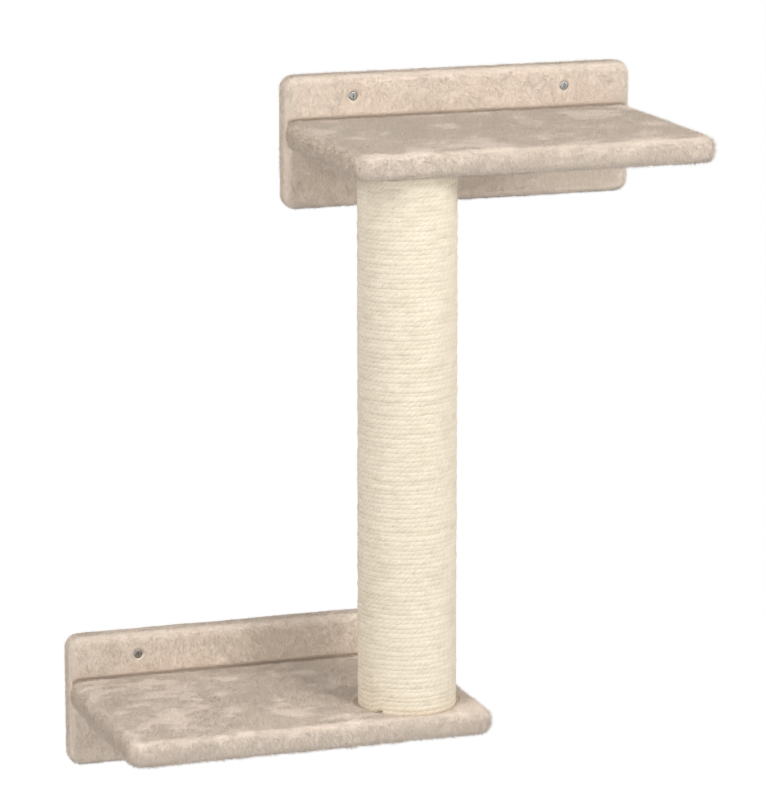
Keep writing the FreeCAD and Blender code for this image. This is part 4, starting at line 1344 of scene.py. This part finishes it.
def add_camera(stage):
    """The camera at its place, turned to the right and tilted down."""
    ahead = Vector((
        math.sin(stage.yaw) * math.cos(stage.pitch),
        math.cos(stage.yaw) * math.cos(stage.pitch),
        -math.sin(stage.pitch)))
    right = Vector((math.cos(stage.yaw), -math.sin(stage.yaw), 0.0))
    turn = Matrix((right, right.cross(ahead), -ahead)).transposed().to_4x4()
    data = bpy.data.cameras.new("camera")
    data.lens = stage.lens
    data.clip_end = 2 * FLOOR_SIDE
    camera = bpy.data.objects.new("camera", data)
    camera.matrix_world = Matrix.Translation(stage.eye) @ turn
    bpy.context.scene.collection.objects.link(camera)
    return camera


class OBJECT_OT_cat_wall_stage(bpy.types.Operator):
    """Set up the floor, the light and the camera"""

    bl_idname = "object.cat_wall_stage"
    bl_label = "Stage"
    bl_options = {"REGISTER", "UNDO"}

    def execute(self, context):
        scene = context.scene
        stage = scene.cat_wall_stage
        scene.view_settings.view_transform = "Standard"
        add_floor(stage.floor_level)
        for lamp in LAMPS:
            add_lamp(lamp, getattr(stage, f"{lamp.name}_power"))
        scene.world = studio_world(stage)
        scene.camera = add_camera(stage)
        return {"FINISHED"}


# Panel and registration

SETTINGS = {
    "cat_wall_plush": CatWallPlush,
    "cat_wall_rope": CatWallRope,
    "cat_wall_stage": CatWallStage,
}
STEPS = (
    OBJECT_OT_cat_wall_stage,
    OBJECT_OT_cat_wall_hardware,
    OBJECT_OT_cat_wall_plush_finish,
    OBJECT_OT_cat_wall_shelf_plush,
    OBJECT_OT_cat_wall_back_plush,
    OBJECT_OT_cat_wall_rope,
    OBJECT_OT_cat_wall_fibres,
)


class VIEW3D_PT_cat_wall(bpy.types.Panel):
    """Cat wall settings and steps"""

    bl_label = "Cat Wall"
    bl_idname = "VIEW3D_PT_cat_wall"
    bl_space_type = "VIEW_3D"
    bl_region_type = "UI"
    bl_category = "Cat Wall"

    def draw(self, context):
        for step in STEPS:
            self.layout.operator(step.bl_idname)
        for name, group in SETTINGS.items():
            box = self.layout.box()
            for setting in group.__annotations__:
                box.prop(getattr(context.scene, name), setting)


CLASSES = (*SETTINGS.values(), *STEPS, VIEW3D_PT_cat_wall)


def register():
    """Make the settings, steps and panel known to Blender."""
    for entry in CLASSES:
        bpy.utils.register_class(entry)
    for name, group in SETTINGS.items():
        setattr(bpy.types.Scene, name, PointerProperty(type=group))


def unregister():
    """Take the settings, steps and panel out of Blender again."""
    for name in SETTINGS:
        delattr(bpy.types.Scene, name)
    for entry in reversed(CLASSES):
        bpy.utils.unregister_class(entry)


def main():
    """Dress the frame step by step."""
    register()
    bpy.ops.object.cat_wall_stage()
    bpy.ops.object.cat_wall_hardware()
    bpy.ops.object.cat_wall_plush_finish()
    bpy.ops.object.cat_wall_shelf_plush()
    bpy.ops.object.cat_wall_back_plush()
    bpy.ops.object.cat_wall_rope()
    bpy.ops.object.cat_wall_fibres()


if __name__ == "__main__":
    main()
